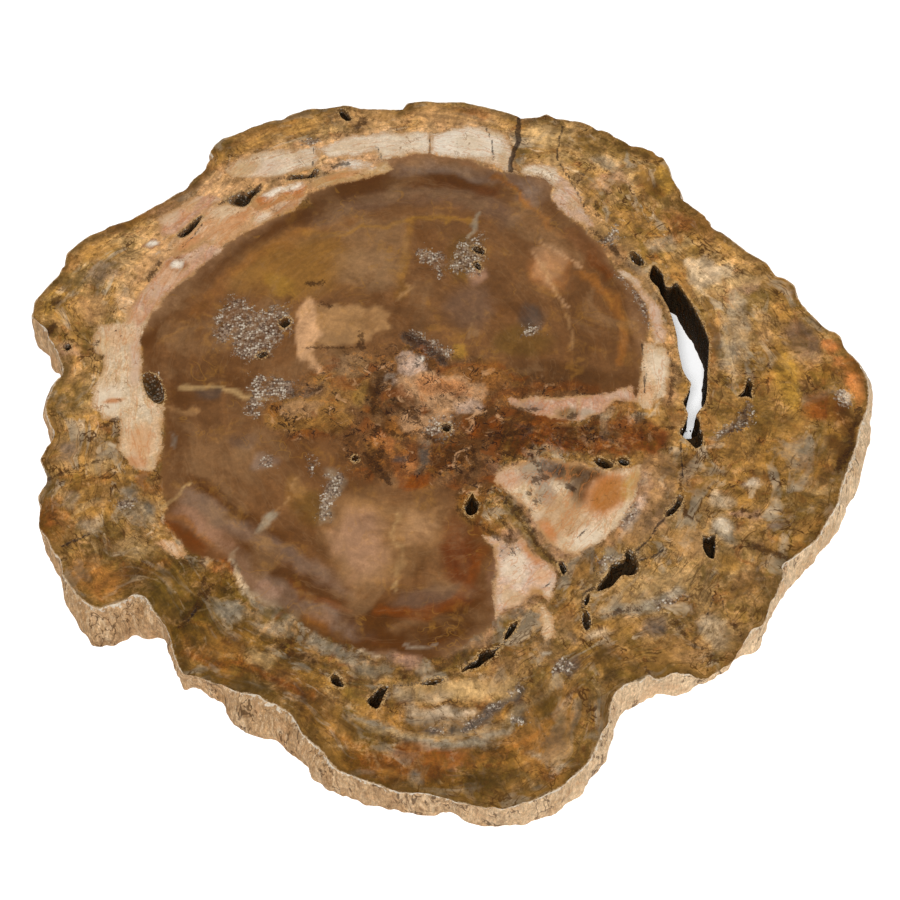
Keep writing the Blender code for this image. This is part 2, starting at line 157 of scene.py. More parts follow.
# The rim of the polished face, and after the bar the foot of the edge below it, counter-clockwise from the
# east. A stretch without a foot of its own leans out by FAR_LEAN.
STRETCHES = [(points_of(rim), points_of(foot)) for rim, foot in entries("""
    # east bulge
    161 -1, 163.4 4, 165 9, 165.9 14, 165.8 20, 164.4 26, 162.2 29.6 | 167.3 0.5, 168.3 6.5, 169.4 12,
    170.1 17, 170.2 22, 169.2 28, 165.6 33;
    # east
    158.6 36, 157.3 40.3, 155.6 42.4, 153.3 43, 151 45.5, 146.3 51.5, 144.7 54.3, 143.2 56.2, 142.2 60.5,
    141.2 65, 138.8 67.7, 136 69.6, 134 70.5, 132 74, 130.6 76.6, 124.5 81 |;
    # north east
    119.3 86, 114.7 91.2, 111.8 92.8, 109.8 94.4, 109.2 96.8, 107.8 98.3, 107.1 100.3, 102.3 105,
    100.8 107.3, 98.8 109.2, 98 112.7, 95 121, 93.8 126, 92.7 129.5, 91.6 131.5, 89.8 132.3, 85.4 135.8,
    79 137.5, 72.3 141.8, 70.7 143.9, 64.5 146.5, 59 149.6, 55 150.8, 48 152, 45.2 153.5, 43 154.5, 39 152.9,
    32.5 152.3 |;
    # north
    30.4 153.6, 22 156.8, 9 160.7, 6.5 161.3, -3 161, -9.5 161.8, -16.6 160.6, -18.3 158.6, -20.5 157.1,
    -31 157.4, -37 157.6, -42 159.3, -47 159.1, -51.5 158.2, -60 157.2, -67.5 153.9, -70.5 152.3, -78 150.4,
    -86 146, -92 142.4, -95.6 141.3, -97.8 139.4, -99.2 136, -100.5 133.3, -99 131.2 |;
    # north west
    -100.6 129, -101.6 126, -102.8 122.9, -105 121, -107.5 117.6, -108.9 115.3, -117.5 107.8, -120.5 106,
    -128 100.3, -133 97.3, -141.5 94, -149 88.6, -155 82, -155.9 78, -156.4 75, -158 70, -160 67.2,
    -165 59.5, -166.3 56.3, -166.3 53, -166.8 50.3, -165.3 48, -162.5 45.8, -160.3 43, -158.8 39.5,
    -154.4 32.8, -153.5 30, -151.3 24.5 |;
    # west bulge
    -151.7 22, -153.6 19.5, -155.8 12, -156.6 8, -156 4.5, -152.7 -3.5 | -155.4 22.2, -159.4 18.5,
    -160.9 14.3, -159.7 9.7, -158 6, -155.4 -2.5;
    # west
    -152.6 -7.5, -154.2 -11, -156 -16, -155.3 -18.2, -153.1 -22.5, -152.8 -26.5, -154.8 -31.2, -155 -33.5,
    -154.3 -37 | -153.4 -7, -154.6 -11, -156.2 -16, -155.6 -18.8, -153.8 -22.5, -153.4 -26.5, -155 -31,
    -155.4 -34, -155 -37.5;
    # west low
    -154.3 -43.5, -153.3 -46.3, -149.6 -50.6, -148.3 -53.7, -146.6 -56.5, -144.4 -58.5, -143.4 -61,
    -142.9 -65, -139.3 -69.8 | -154.6 -42.5, -153.8 -45.5, -151.3 -50, -149 -55, -147 -59.5, -145.5 -63,
    -144 -67, -142.5 -71;
    # south west lobe
    -137 -73, -134 -76, -131 -78.1, -127.8 -79.5, -124.5 -78.4, -118 -76, -116 -74.6, -114.3 -73.8,
    -112.3 -74.2, -110.3 -75.5, -107.3 -80.5, -103.3 -86.5 | -140.2 -75.4, -137 -79.2, -134 -83, -131 -85.3,
    -128.5 -84.9, -125.5 -85.3, -122.5 -84, -120 -81.6, -118 -80.4, -115.5 -80.9, -112 -82, -108.2 -81.6,
    -105.3 -82.6;
    # south west corner
    -100.6 -91.5, -99.5 -95.5, -96.3 -103.5, -94.6 -106, -91.5 -106.5 | -103.4 -87.5, -102 -92, -100.8 -96,
    -99 -100, -97 -102.7, -94.8 -102.5, -92.5 -102.3;
    # south west
    -88.5 -107.1, -77 -111.9, -68.5 -113.7, -64.5 -115.8, -56.5 -120 | -90 -103, -86 -106, -82.5 -108.7,
    -80 -113, -78 -116.3, -75.5 -117.6, -72 -120.4, -68 -121.7, -64 -123, -59.5 -125;
    # south west step
    -54 -123, -52.6 -126, -50.5 -129, -44 -134.6, -41.7 -137.8, -39.3 -141 | -56 -127.5, -53 -131,
    -50.5 -133.5, -49 -136.5, -47.4 -138.7, -45 -139.8, -42 -141.7;
    # south
    -35.5 -143.3, -26 -146.6, -21.5 -148.2, -18 -149.9, -8 -151.1, 0 -153.2 | -39 -143.5, -35 -145.2,
    -30 -146.7, -25 -147.7, -20 -149, -16 -150.2, -10 -150.5, 0 -150.8;
    # south lobe
    5 -153.9, 10 -155.2, 15 -156.1, 20 -156.5, 24.5 -155.6, 31 -152.9, 38.5 -149.3, 41.5 -147.5, 44 -145,
    49.5 -139.9, 51.3 -137.4, 52.7 -134.3, 55.7 -128.4, 57.5 -125.7, 58.4 -122.7, 58.7 -119, 60.2 -114 |
    4 -151.5, 8 -153.3, 13 -154.8, 18 -155.8, 22 -155.8, 27 -154.5, 35 -152, 39 -150.3, 43 -147.5, 47 -144.5,
    50 -141.5, 53 -138, 55.5 -135, 57.5 -131, 59 -127, 60.3 -123, 61.5 -119;
    # south bay
    62 -111.5, 64.3 -109.7, 67 -108.6, 69.8 -108.5, 71.5 -107.2, 73.4 -105.7, 75.3 -107.4, 77.5 -107.7,
    80 -106, 83.3 -104.9, 85.3 -105.8, 88.3 -105.8, 90.5 -107.3, 93.5 -107.8 | 63 -115, 65 -112, 68 -109.5,
    71 -108, 74 -106.3, 78 -105.6, 82 -104.8, 86 -104.7, 89 -104, 91 -102.7, 94 -101;
    # south east corner
    96.5 -106.2, 102.5 -102.2, 107 -96.8, 110.3 -91, 112.5 -88.4 | 97 -100.3, 101 -98, 104 -95.5, 107 -92.5,
    110 -89.6, 115 -87.4;
    # south east low
    115.5 -86.6, 117.3 -84.5, 119.2 -78.8, 120.8 -76.5, 123.6 -70.3, 124.6 -68, 125.8 -66.2, 125.5 -64 |
    117.5 -85, 119 -81, 120.5 -78, 122.7 -74.5, 125 -70, 128 -65.3;
    # south east
    126.4 -61.2, 134.5 -54.8, 138 -52, 140.5 -49.2, 142 -46, 146.3 -39.6, 148.5 -36, 149.8 -32.3,
    150.5 -28.6, 153.7 -21.8, 155.2 -17.8, 158.7 -9, 159.6 -5 | 130.5 -61.5, 134 -57, 138 -53, 142 -49.5,
    146 -45, 149.5 -40.5, 152 -37, 154 -33, 156 -28, 158 -24, 160.5 -19, 163 -13, 165 -8, 166.4 -3.5;
""")]

# The opening that goes right through the slice.
OPENING = points_of("""
    84.8 75.3, 83.2 72.3, 82.8 69, 84.2 66.3, 86 64, 86.9 60.5, 88.8 56, 90.5 50.5, 91.6 45, 92.2 40,
    92.4 34, 93 28, 93.8 24, 95 21, 96.4 18.2, 95.6 15, 94.2 12, 92.9 9.8, 93.8 6.5, 94.4 3.8, 93.2 0.4,
    91.9 -2.8, 94.5 -3.6, 97.9 -3.4, 98.7 -0.8, 98.4 1.6, 97.4 3.4, 98.6 5.4, 101 8.6, 102.1 12, 102.7 17,
    103.2 23, 103.9 29, 104.5 34, 104.8 38, 104.1 42, 102.9 46.5, 101.2 51, 99.3 55.5, 97.2 60, 95 64.4,
    93.2 66.6, 91.4 64.4, 89.3 64.6, 88.6 67.3, 88.4 70.3, 87 73
""")

# Vugs in the polished face: outline, depth, and the floor's width as a share of the outline's.
VUGS = shapes_of("""
    -46.6 157.2, -44.6 157.6, -42.4 155, -40.7 151.6, -42.6 150.8, -45.2 152.8 | 6 0.5; -67 119.2,
    -60.8 119.6, -56.4 120.2, -54 121.8, -53.8 124.4, -55.8 124.8, -57.6 121.6, -62 121.6, -66.2 121.4 |
    3.5 0.5; -92 108.6, -89 105.8, -85 104.9, -82.4 106.6, -80.8 110.2, -77.6 113.6, -77.8 117.2,
    -80.4 114.6, -83.4 112.4, -86.2 112.8, -89.2 110.8 | 3 0.6;
    -111.2 90.2, -109.4 88.8, -106.2 91, -102.8 96.2, -101.2 100.4, -103.4 99.4, -107.4 94.4 | 5 0.5;
    -119.8 21.6, -119.2 17.8, -117.4 13.2, -114.8 10, -111.6 8.6, -110.3 10.8, -110.9 14.6, -112.6 19,
    -115 22.2, -118.2 23.2 | 2 0.75; -152.6 35.4, -150.8 33.4, -149.2 35, -150.2 37, -151.8 37 | 3 0.5;
    -67.2 46.6, -65 44.4, -63 46, -62.8 48.6, -64.6 49.4, -66.2 48.4 | 3 0.5;
    -75.4 31.2, -73.4 30.2, -70.8 31.6, -71.2 33, -73.6 32.8 | 3 0.5;
    10.4 83.2, 12.6 81.6, 15.4 80.6, 15.6 82.8, 13.2 84.4, 11.2 84.8 | 3.5 0.5;
    11 75.8, 12.2 73.8, 13.6 72.6, 14.2 74.6, 12.6 77 | 3 0.5;
    -36.4 -16, -35.2 -17.2, -33.8 -16.4, -34 -14.8, -35.4 -14.4 | 3 0.5;
    -1.8 -2, -0.4 -3.8, 1.6 -3.2, 1.8 -1.2, 0.2 -0.2, -1.4 -0.6 | 5 0.5;
    75.2 80.6, 75.8 77.6, 78.4 75, 80.8 75.4, 80.6 78, 78.2 81.2, 76.2 82.4 | 3 0.6; 114.2 12.4, 116 12,
    118 12.4, 120 11.2, 119.8 14, 120.5 17.4, 120 20.6, 118.8 21, 118.3 18.2, 117.2 15.4, 115.6 13.6 | 7 0.6;
    90.6 -4.8, 91.6 -1.8, 98.2 -2.2, 99.4 -5, 98.8 -9.6, 96.4 -11.2, 94.2 -8.6 | 6 0.7;
    56.6 -16.4, 58.2 -18.8, 61 -20.4, 63.6 -19.8, 64 -18, 61.6 -16.2, 58.8 -15.4 | 6 0.6;
    65.9 -16.6, 67.2 -18.6, 69.4 -19, 70.6 -17.6, 69.4 -15.8, 67.2 -15.5 | 6 0.6;
    10 -30.8, 8.6 -33.6, 6.9 -36.6, 7.4 -39.2, 9.6 -40.9, 11.8 -38.8, 12.4 -35.4, 11 -33.2 | 10 0.5;
    42 -60.2, 42.4 -62.6, 43.4 -65.4, 45 -64.2, 44.4 -61.4, 43 -59.6 | 4 0.5; 68.3 -54.4, 67 -56.4,
    67.2 -58.8, 64.4 -60, 61.4 -61.6, 60.4 -64.4, 58.4 -67.2, 56.2 -70.2, 55.4 -72.2, 58 -71.8, 61.4 -70.4,
    63.6 -67.8, 65.8 -65.6, 68.2 -66, 70.6 -65, 72 -62, 71.6 -59, 70.2 -56 | 8 0.6;
    96.8 -49.2, 96.3 -53.8, 97.3 -57.4, 100 -58.8, 101 -54, 101 -48.8, 99 -49.6 | 8 0.7; 88.4 -31.6,
    87.6 -34.4, 86 -36.8, 83.4 -39, 83 -41.2, 85.8 -40.2, 88.4 -37.2, 89.8 -34.4, 90.4 -32.2 | 4 0.5;
    51 -77.6, 51.2 -75.2, 53 -73, 53.2 -75.2, 51.9 -78 | 4 0.5;
    50.2 -81.6, 50 -85, 51.4 -88.4, 53.2 -86, 52.8 -81.6, 51.4 -79.8 | 3 0.6;
    26.4 -84.2, 23.6 -86.2, 22.2 -88.8, 21.2 -92, 23 -91, 25.2 -88 | 6 0.5; 20.2 -94.6, 17.4 -95.8,
    14.6 -95.9, 12.2 -97.2, 11.4 -99.8, 8.8 -101.3, 6.4 -103.2, 5.8 -104.9, 8.6 -103.4, 11.8 -102.9,
    14.8 -100.2, 17.8 -98.4, 18.2 -96.4 | 7 0.6;
    -9.2 -109.2, -5 -107.6, -0.6 -107.2, -2.8 -109.2, -6.2 -109.8 | 3 0.5; -20.6 -110.2, -23.6 -110.6,
    -25.6 -113, -28.2 -115.4, -27.2 -117.4, -24.6 -118.8, -23.2 -116.4, -21.8 -112.8 | 8 0.6;
    -41.6 -106.2, -40.2 -105.2, -38 -107.6, -36.6 -110.4, -39.2 -110.2, -41.2 -108.8 | 5 0.5;
""")

# The opening and the vugs as closed outlines.
PITS = [(OPENING, 0.0)] + [(outline, 0.0) for outline, depth, floor in VUGS]

# Colours of the stone as they are read off, red, green and blue from 0 to 255.
PALETTE = {
    "wood": (156, 116, 66),
    "agate": (120, 82, 50),
    "agate_dark": (88, 54, 28),
    "agate_grey": (112, 88, 72),
    "agate_tan": (150, 114, 78),
    "amber": (168, 106, 48),
    "gold": (164, 116, 50),
    "yellow": (176, 132, 52),
    "rust": (128, 66, 24),
    "deep_rust": (104, 52, 20),
    "orange": (190, 118, 64),
    "peach": (208, 160, 116),
    "pink": (196, 150, 122),
    "pale_pink": (208, 176, 152),
    "tan": (176, 132, 86),
    "sand": (196, 158, 106),
    "cream": (216, 188, 152),
    "ivory": (226, 206, 178),
    "white": (240, 228, 208),
    "shell": (242, 210, 170),
    "ochre": (162, 116, 58),
    "brown": (124, 82, 44),
    "olive": (110, 84, 36),
    "moss": (84, 60, 22),
    "umber": (72, 46, 26),
    "soot": (38, 27, 18),
    "slate": (86, 76, 68),
    "ash": (158, 142, 118),
    "lilac": (146, 122, 104),
    "bluish": (140, 130, 114),
    "pearl": (206, 195, 178),
}

# The brown agate disc in the middle.
HEART = points_of("""
    -122.5 38, -120.3 31, -120 23, -110.3 10, -109.5 0, -109 -12, -110 -22, -106 -36, -106.5 -43, -102 -49,
    -95 -57, -88 -59, -78.5 -59, -76 -65, -72 -72, -69 -78, -62 -78.5, -55 -83, -50 -88, -40 -92, -32 -95,
    -26 -99, -20 -96.5, -9 -100, 1 -97.5, 5 -95, 17 -86, 18.5 -84, 18 -75, 17.5 -70, 19 -65, 19.5 -60,
    17 -55, 14.5 -50, 13 -45, 15 -34, 19 -25, 22 -10, 30 1, 45 1, 60 3, 66 9, 73 11, 76 13, 77.5 25, 78 35,
    81 43, 81.5 50, 80 57, 77 63, 70 73, 66 80, 61 88, 57 93, 50 101, 44.5 108, 43.5 112, 46.5 118, 47 120.5,
    38 123, 32 121, 25 122, 20 123.5, 15 126.5, 10 130, 0 131.8, -8 132.5, -13 133, -20 131.5, -27 130,
    -22 124.5, -28 121.5, -42 117.5, -54 113, -58 111, -54.5 104.5, -62 103, -70 100, -78 95, -86 90, -94 82,
    -99.5 75, -103 70, -108 66, -113 60, -119 50
""")

# The broad tone of each side: middle, half width and half height, turn in degrees, colour, strength.
BROAD_TONES = shapes_of("""
    -85 -85, 42 24 | -30 olive 0.8; -85 -85, 46 26 | -30 moss 0.6; 0 -134, 52 20 | 0 amber 0.4;
    0 -140, 52 16 | 0 moss 0.3; 135 5, 32 50 | 0 ochre 0.4; -110 105, 34 22 | 35 sand 0.35;
    20 155, 80 14 | 0 sand 0.35; -10 -140, 44 12 | -4 olive 0.55; -30 146, 80 12 | 0 sand 0.5;
    62 125, 32 16 | -25 sand 0.45; 118 58, 18 34 | 0 sand 0.5; 84 -62, 42 26 | 20 sand 0.35;
    -138 72, 22 34 | 0 sand 0.5; -148 8, 14 40 | 0 sand 0.25; -10 -90, 50 14 | 0 agate_dark 0.8;
""")

# Soft clouds of colour in the ground, drawn the same way.
CLOUDS = shapes_of("""
    # outer wood, north and north-west
    -88 -82, 36 18 | -35 moss 0.6; -60 -110, 26 10 | -30 moss 0.5; -84 -94, 15 8 | -22 rust 0.6;
    -76 -108, 16 3 | -16 moss 0.7; -70 147, 26 9 | 22 ochre 0.7; -37 147, 5 4 | 0 umber 0.7;
    -30 152, 22 6 | 0 tan 0.7; 5 153, 26 7 | -4 tan 0.8; 12 156, 9 2.5 | -15 orange 0.6;
    44 143, 12 8 | -10 sand 0.8; 67 128, 7 3.5 | -30 ash 0.6; 58 140, 9 3 | -18 moss 0.7;
    74 137, 9 3 | -30 moss 0.6; 62 118, 9 6 | -40 ochre 0.6; 93 120, 7 10 | -20 yellow 0.7;
    85 113, 7 7 | -30 umber 0.55; 108 95, 11 8 | -45 brown 0.6; 96 98, 8 6 | -40 orange 0.35;
    -120 112, 12 5 | 40 brown 0.5; -124 103, 24 5 | 38 brown 0.75; -145 88, 9 5 | 40 ochre 0.6;
    -147 80, 8 7 | 0 ochre 0.8; -139 72, 9 8 | 20 lilac 0.6; -152 68, 6 8 | 0 olive 0.6;
    -160 58, 5 7 | 0 yellow 0.5; -158 57, 2.5 3 | 0 umber 0.8; -158.5 44.5, 2.6 3.6 | 0 umber 0.9;
    -143 54, 8 8 | 0 tan 0.8; -151 35, 5.5 5.5 | 0 pink 0.6; -148 15, 9 15 | 0 olive 0.6;
    -149 25, 5 6 | 0 tan 0.5; -145 -12, 4 5 | 0 lilac 0.7; -132 -19, 6 5 | 0 sand 0.7;
    -147 -42, 8 12 | 20 rust 0.5; -143 -34, 4 4.5 | 0 ash 0.6; -134 -44.5, 5 3 | 0 cream 0.6;
    -137 -27, 6 4 | 0 olive 0.5; -127 -37, 5 4 | 0 gold 0.5; -130 -66, 13 9 | -30 amber 0.65;
    -119 -55, 10 5 | -10 sand 0.65; -105 -72, 11 13 | 20 olive 0.75; -115 -66, 8 6 | 0 brown 0.5;
    -90 -68, 8 5 | -40 gold 0.45; -80 -97, 20 12 | -15 ochre 0.5; -88 -88, 10 6 | -10 olive 0.6;
    -68.5 -100, 7 3.5 | -15 sand 0.7; -57 -108, 10 6 | -20 brown 0.7; -45 -118, 14 7 | -35 brown 0.7;
    -18 -141, 24 8 | -8 rust 0.6; -30 -128, 12 7 | -20 olive 0.5;
    # east and south-east
    105 68, 9 10 | 0 sand 0.75; 117 48, 5 23 | 0 ash 0.65; 123 64, 6 3 | 20 pink 0.6;
    113 72, 5 4 | 0 ash 0.6; 106.5 38, 4 18 | 0 brown 0.8; 135 18, 6 18 | 5 yellow 0.7;
    142 38, 8 13 | 10 agate_grey 0.75; 128 45, 5 12 | 0 tan 0.5; 124 82, 6 5 | 0 ochre 0.5;
    153 36.5, 4.5 4 | 0 orange 0.85; 160.5 25, 4 8 | 0 rust 0.7; 147 7, 9 9 | 0 rust 0.85;
    153 -12, 5 9 | 25 umber 0.9; 156 1, 5 9 | 0 umber 0.9; 36 112, 9 9 | -40 lilac 0.5;
    125 0, 9 9 | 0 olive 0.6; 110 -12, 9 7 | 0 ochre 0.5; 128 -14, 9 7 | 20 gold 0.55;
    142 -20, 8 9 | 0 brown 0.5; 136 -38, 9 8 | 40 olive 0.5; 106 -47.5, 4 6.5 | 0 ash 0.8;
    117.5 -28, 5 2.6 | 15 cream 0.7; 107 -34.5, 4 3.5 | 0 ash 0.6; 124.5 -43.5, 3.5 2 | 0 lilac 0.8;
    120 -55, 8 3.5 | -10 umber 0.6; 112.8 -39.4, 6 1.8 | 0 pink 0.6; 112 -68, 9 7 | 30 brown 0.5;
    80 -34, 10 15 | -20 pink 0.4; 92 -25, 7 9 | 0 brown 0.5; 92 -52, 9 8 | 20 tan 0.65;
    104 -62, 5 5 | 0 gold 0.7; 75 -70, 17 7 | 15 sand 0.6; 76 -86, 6 4.5 | 0 lilac 0.5;
    100 -89, 8.5 8.5 | 0 sand 0.6; 88 -96, 9 6 | 0 tan 0.55; 58.5 -101, 5 8 | 0 moss 0.75;
    62 -88, 9 6 | 0 ochre 0.5; 44 -85, 6 7 | 0 tan 0.5; 57 -45, 6 4 | 0 cream 0.3;
    # south lobe
    -16 -100, 10 3.6 | -8 pink 0.7; 8 -92, 12 4.5 | 20 peach 0.6; 3 -111.5, 26 4.5 | 8 sand 0.85;
    -15 -114, 4 4 | 0 lilac 0.75; -4 -114, 5 2.4 | 0 lilac 0.75; 0 -120.8, 11 2 | 3 lilac 0.85;
    26.5 -116.5, 3 3 | 0 lilac 0.6; 0 -132, 19 2.8 | 0 ash 0.85; 4 -136, 5 2 | 0 slate 0.6;
    36 -126, 14 19 | -20 ochre 0.75; 30 -134, 13 9 | 30 amber 0.4; 13 -145, 10 3.5 | 0 moss 0.65;
    -10 -127, 14 3 | 0 gold 0.5; 20 -105, 10 5 | 30 tan 0.6; 37 -96, 6 6 | 0 tan 0.6;
    -36 -112, 10 3 | -30 olive 0.6; -17 -113, 5 4 | 0 bluish 0.85; -3 -113.6, 7 2.6 | 4 cream 0.7;
    38 -120, 10 11 | 0 amber 0.4; 38 -120, 6.5 7.5 | 0 olive 0.8; 32 -135.5, 4 1.6 | -20 cream 0.8;
    53 -130, 3 2.4 | 0 ash 0.7; 56 -90, 5 2.4 | 10 cream 0.75; -12 -146, 3 3 | 0 bluish 0.7;
    46 -91, 3 3 | 0 slate 0.7; -5 -137, 20 5 | -4 rust 0.8; -30 -128, 12 6 | -24 moss 0.6;
    10 -148, 24 4 | 0 moss 0.5; -45 -120, 12 8 | -35 moss 0.4; -5 -126.5, 3.4 2.6 | 0 slate 1;
    2 -126.2, 2.2 2.2 | 0 slate 1; 43 -102.5, 6 4 | 0 slate 0.9; 26 -122.3, 4 2 | 8 slate 1;
    # south-west
    -79 -80, 8 4.4 | -14 ash 0.9; -62 -83, 9 7 | -10 cream 0.5; -65 -82, 2.8 3.6 | 0 olive 0.95;
    -59.4 -82, 3.6 3.2 | 0 olive 0.9; -60 -82, 1.6 1.6 | 0 rust 0.6; -46 -84, 7 4.4 | -20 amber 0.85;
    -44 -94, 8 3.6 | -22 ash 0.8; -66 -99, 6 2 | -10 sand 0.6; -95 -101, 3 4 | 0 umber 0.6;
    -88 -62, 5 3 | -20 orange 0.6; -152 -44, 4 9 | 0 rust 0.6; -112 -38, 4 3 | -30 slate 0.7;
    -150 37, 2 2.4 | 0 deep_rust 0.8; -121 -32, 4 3 | 0 bluish 0.8;
    # south-east
    67 -79, 4.4 1.6 | 10 umber 0.7; 76 -87, 5.4 4.6 | 0 slate 0.7; 104 -46, 4.4 5 | 0 ivory 0.6;
    116 -26.5, 5 2.6 | 15 ivory 0.75; 104 -34, 5 4 | 0 cream 0.7; 80 -34, 8 14 | -20 agate_tan 0.5;
    113 35, 4 20 | 0 ash 0.6;
    # heart, upper half
    -90 30, 26 26 | 0 agate 0.5; -95 20, 14 14 | 0 agate_dark 0.4; -60 75, 27 17 | 12 gold 0.5;
    -68 66, 9 4 | -35 yellow 0.4; -83 67, 9 7 | 30 ochre 0.45; -32 73, 15 14 | 0 agate_tan 0.75;
    -38 62, 9 4 | -20 brown 0.5; -20 96, 26 12 | 0 agate 0.4; -33 92, 12 8 | 0 agate_tan 0.4;
    8 80, 9 13 | 0 olive 0.45; 12.5 69, 5 4.5 | 0 pink 0.55; 34.5 50.5, 6.5 6.5 | 0 slate 0.75;
    43 73, 9 12 | 15 orange 0.45; 30 38, 12 9 | 0 olive 0.5; 10 55, 12 12 | 0 agate_grey 0.5;
    12 20, 14 8 | -8 amber 0.5; 45 21, 26 8 | -6 umber 0.6; 55 45, 9 15 | 0 agate 0.4;
    -104 44, 9 14 | 0 agate_dark 0.35; -80 18, 12 8 | 0 agate_dark 0.5; -39 20, 14 14 | 0 ochre 0.65;
    -40 27, 6 5 | 0 lilac 0.4; -12 44, 10 4 | 15 umber 0.4; -30 10, 5 7 | 0 olive 0.5;
    # heart, middle and lower half
    -74 -52, 26 16 | -35 agate 0.45; 60 52, 16 30 | 0 agate_dark 0.3; -86 -20, 20 18 | 0 agate_tan 0.35;
    -78 -9, 5.5 5 | 0 agate_grey 0.7; -69 -17, 5 4 | 0 lilac 0.6; -60 -12, 12 8 | 0 agate_dark 0.45;
    -86 -34, 16 7 | -35 agate_dark 0.7; -52 -38, 7 8 | 0 olive 0.5; -58 -30, 5 8 | 0 ochre 0.45;
    -27 -18, 6 7 | 0 umber 0.6; -8 -18, 16 10 | 0 rust 0.6; -8 -15, 3 8 | 8 ash 0.6;
    6 -12, 8 9 | 0 brown 0.6; 5 -58, 8 17 | 8 deep_rust 0.85; 14 -46, 6 5 | 0 rust 0.6;
    -12 -61, 5.5 6 | 0 agate_dark 0.7; -34 -27, 10 6 | 0 agate_dark 0.4; -12 -84, 30 13 | 4 agate_dark 0.75;
    -15 -91, 17 4.5 | 0 rust 0.65; -33 -88.5, 9 4 | -12 agate_grey 0.7; 10 -76, 6 8 | 0 deep_rust 0.6;
    -5 -75, 18 5 | 10 agate_grey 0.5; -60 -52, 14 7 | -35 agate_dark 0.5; -66 -75, 7 3 | -20 cream 0.75;
    -33 12, 4 6.5 | 0 yellow 0.6; 10 -36, 6 8 | 10 olive 0.5;
    # dark country between the heart and the wedges
    50 -7, 36 7 | 0 deep_rust 0.6; 30 -8, 10 6 | 0 umber 0.7; 80 -12, 9 8 | 0 rust 0.45;
    16 -22, 5 8 | 0 deep_rust 0.6; 4 -24, 6 5 | 0 rust 0.5; 9.6 -36, 5.5 8.5 | 8 gold 0.6;
    88 8, 4 14 | 0 brown 0.8; 100 0, 6 8 | 0 brown 0.5; 50 -64, 7 5 | 40 brown 0.6;
    66 -50, 8 5 | 30 agate 0.5;
""")

